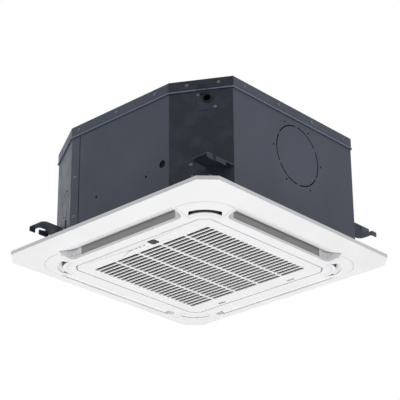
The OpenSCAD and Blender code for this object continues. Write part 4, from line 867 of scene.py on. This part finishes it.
class CASSETTE_OT_inside(bpy.types.Operator):
    """Dress what lies inside the casing"""

    bl_idname = "cassette.inside"
    bl_label = "Inside"

    def execute(self, context):
        for node, name, finish in (
                ("fan_impeller", "fan_wheel", "dark_plastic"),
                ("fan_ring", "fan_inlet_ring", "dark_plastic"),
                ("blade_ring", "fan_blades", "dark_plastic"), ("bell_mouth", "intake_bell", "dark_plastic"),
                ("fan_motor", "motor", "motor_steel"), ("fan_nut", "wheel_nut", "sheet_zinc"),
                ("motor_shaft", "wheel_shaft", "screw_steel"),
                ("motor_plate", "motor_carrier", "sheet_zinc"),
                ("drain_port", "drain_spigot", "black_rubber"), ("gas_pipe", "gas_tube", "copper"),
                ("liquid_pipe", "liquid_tube", "copper"), ("flare_nuts", "pipe_nuts", "brass_nut"),
                ("drain_pan", "foam_pan", "foam"), ("control_box", "wiring_box", "sheet_zinc"),
                ("control_lid", "wiring_lid", "sheet_zinc")):
            dressed(node, name, finish, 0.0002)
        for node, finish in (
                ("casing_liner", "liner_foam"), ("top_liner", "liner_foam"),
                ("coil_tubes", "copper"), ("coil_end_plates", "sheet_zinc"), ("drain_plug", "black_rubber"),
                ("drain_pump", "white_plastic"), ("pump_impeller", "duct_plastic"),
                ("float_stem", "white_plastic"), ("float", "foam"), ("drain_hose", "black_rubber"),
                ("motor_mounts", "black_rubber"),
                ("main_board", "board_green"), ("terminal_block", "dark_plastic"),
                ("fan_capacitor", "white_plastic")):
            painted(node, finish)
        self.fins(context.scene.cassette_sizes)
        return {"FINISHED"}

    def fins(self, sizes):
        """Fins along the bent path of the heat exchanger."""
        packed = [v.co for v in frame["nodes"]["coil_fins"].data.vertices]
        low, high, half = min(p.z for p in packed), max(p.z for p in packed), max(p.x for p in packed)
        depth, bend, end = 0.038, 0.07, 0.1195
        line, centre = half - depth/2, half - bend
        radius = bend - depth/2
        path = [(-line, end)]
        for k, (x, y) in enumerate(((-centre, -centre), (centre, -centre), (centre, centre))):
            path += arc((x, y), radius, 180.0 + 90.0*k, 270.0 + 90.0*k, 12)
        path.append((-end, line))
        seed = seeded("fins", [[(x, y, (low + high)/2) for x, y in path]], closed=False)
        piece = grown("fins", fin_tree(), "fin_aluminium", {
            "Spacing": sizes.fin_pitch, "Thickness": sizes.fin_thickness, "Depth": depth - 0.0004,
            "Height": high - low}, seed)
        settle(piece, body_of("coil_fins"), ["coil_fins"])


class CASSETTE_OT_stage(bpy.types.Operator):
    """Lay the floor, hang the lamps and stand the camera"""

    bl_idname = "cassette.stage"
    bl_label = "Stage"

    def execute(self, context):
        scene = context.scene
        scene.view_settings.view_transform = "Standard"
        self.world(scene)
        self.floor()
        for name, place, size, power in (
                ("left_lamp", (-3.4, -2.4, 0.9), 2.4, 12.0),
                ("right_lamp", (3.6, 1.2, 0.9), 2.4, 17.0),
                ("low_lamp", (0.1, -0.2, -2.4), 3.0, 54.0),
                ("top_lamp", (-0.6, 0.8, 3.4), 3.0, 60.0)):
            self.lamp(name, place, size, power)
        self.camera(scene)
        return {"FINISHED"}

    def world(self, scene):
        scene.world = bpy.data.worlds.new("studio")
        scene.world.use_nodes = True
        nodes, links = scene.world.node_tree.nodes, scene.world.node_tree.links
        back = nodes["Background"]
        rays = nodes.new("ShaderNodeLightPath").outputs
        seen = rays["Is Camera Ray"]
        for kind in ("Is Transmission Ray", "Is Glossy Ray"):
            either = nodes.new("ShaderNodeMath")
            either.operation = "MAXIMUM"
            links.new(seen, either.inputs[0])
            links.new(rays[kind], either.inputs[1])
            seen = either.outputs[0]
        level = nodes.new("ShaderNodeMapRange")
        light_level, seen_level = 0.4, 1.0
        level.inputs["To Min"].default_value = light_level
        level.inputs["To Max"].default_value = seen_level
        links.new(seen, level.inputs["Value"])
        links.new(level.outputs[0], back.inputs["Strength"])
        back.inputs["Color"].default_value = (1.0, 1.0, 1.0, 1.0)

    def floor(self):
        mesh = bpy.data.meshes.new("floor")
        half, height = 9.0, -2.6
        mesh.from_pydata([(-half, -half, height), (half, -half, height), (half, half, height),
                          (-half, half, height)], [], [(0, 1, 2, 3)])
        made = Shader("floor_paint", (0.80, 0.80, 0.80), 0.9)
        clouds = made.span(made.noise(2.0, 4.0), 0.0, 1.0)
        made.colour(made.blend(clouds, (0.79, 0.79, 0.79), (0.81, 0.81, 0.81)))
        mesh.materials.append(made.material)
        link("floor", mesh)

    def lamp(self, name, place, size, power):
        light = bpy.data.lights.new(name, "AREA")
        light.size = size
        light.energy = power
        lamp = link(name, light)
        lamp.location = place
        lamp.rotation_mode = "QUATERNION"
        lamp.rotation_quaternion = Vector(place).to_track_quat("Z", "Y")
        lamp.visible_camera = False

    def camera(self, scene):
        yaw, pitch, roll = (math.radians(a) for a in (42.63, 24.82, -0.43))
        ahead = Vector((-math.sin(yaw)*math.cos(pitch), math.cos(yaw)*math.cos(pitch), math.sin(pitch)))
        level = ahead.cross(Vector((0.0, 0.0, 1.0))).normalized()
        rise = level.cross(ahead)
        right = level*math.cos(roll) + rise*math.sin(roll)
        up = rise*math.cos(roll) - level*math.sin(roll)
        view = bpy.data.cameras.new("photo_camera")
        view.lens = 137.41  # millimetres
        view.sensor_width = 36.0  # millimetres
        view.clip_end = 60.0
        camera = link("photo_camera", view)
        camera.rotation_mode = "QUATERNION"
        camera.rotation_quaternion = Matrix((right, up, -ahead)).transposed().to_quaternion()
        camera.location = (2.22491, -2.43023, -1.44463)
        scene.camera = camera


class CASSETTE_PT_pieces(bpy.types.Panel):
    """Lists the pieces, their sizes and their colours"""

    bl_idname = "CASSETTE_PT_pieces"
    bl_label = "Ceiling cassette"
    bl_space_type = "VIEW_3D"
    bl_region_type = "UI"
    bl_category = "Cassette"

    def draw(self, context):
        for group in (context.scene.cassette_sizes, context.scene.cassette_colours):
            for name in group.__annotations__:
                self.layout.prop(group, name)
        for maker in MAKERS:
            self.layout.operator(maker.bl_idname)


MAKERS = (
    CASSETTE_OT_finishes, CASSETTE_OT_stage, CASSETTE_OT_casing, CASSETTE_OT_screws, CASSETTE_OT_panel,
    CASSETTE_OT_louvers, CASSETTE_OT_grille, CASSETTE_OT_inside)
CLASSES = (CassetteSizes, CassetteColours, CASSETTE_PT_pieces) + MAKERS


def register():
    for made in CLASSES:
        bpy.utils.register_class(made)
    bpy.types.Scene.cassette_sizes = bpy.props.PointerProperty(type=CassetteSizes)
    bpy.types.Scene.cassette_colours = bpy.props.PointerProperty(type=CassetteColours)


def unregister():
    del bpy.types.Scene.cassette_colours
    del bpy.types.Scene.cassette_sizes
    for made in reversed(CLASSES):
        bpy.utils.unregister_class(made)


def main():
    register()
    bpy.ops.cassette.finishes()
    bpy.ops.cassette.stage()
    bpy.ops.cassette.casing()
    bpy.ops.cassette.screws()
    bpy.ops.cassette.panel()
    bpy.ops.cassette.louvers()
    bpy.ops.cassette.grille()
    bpy.ops.cassette.inside()


if __name__ == "__main__":
    main()
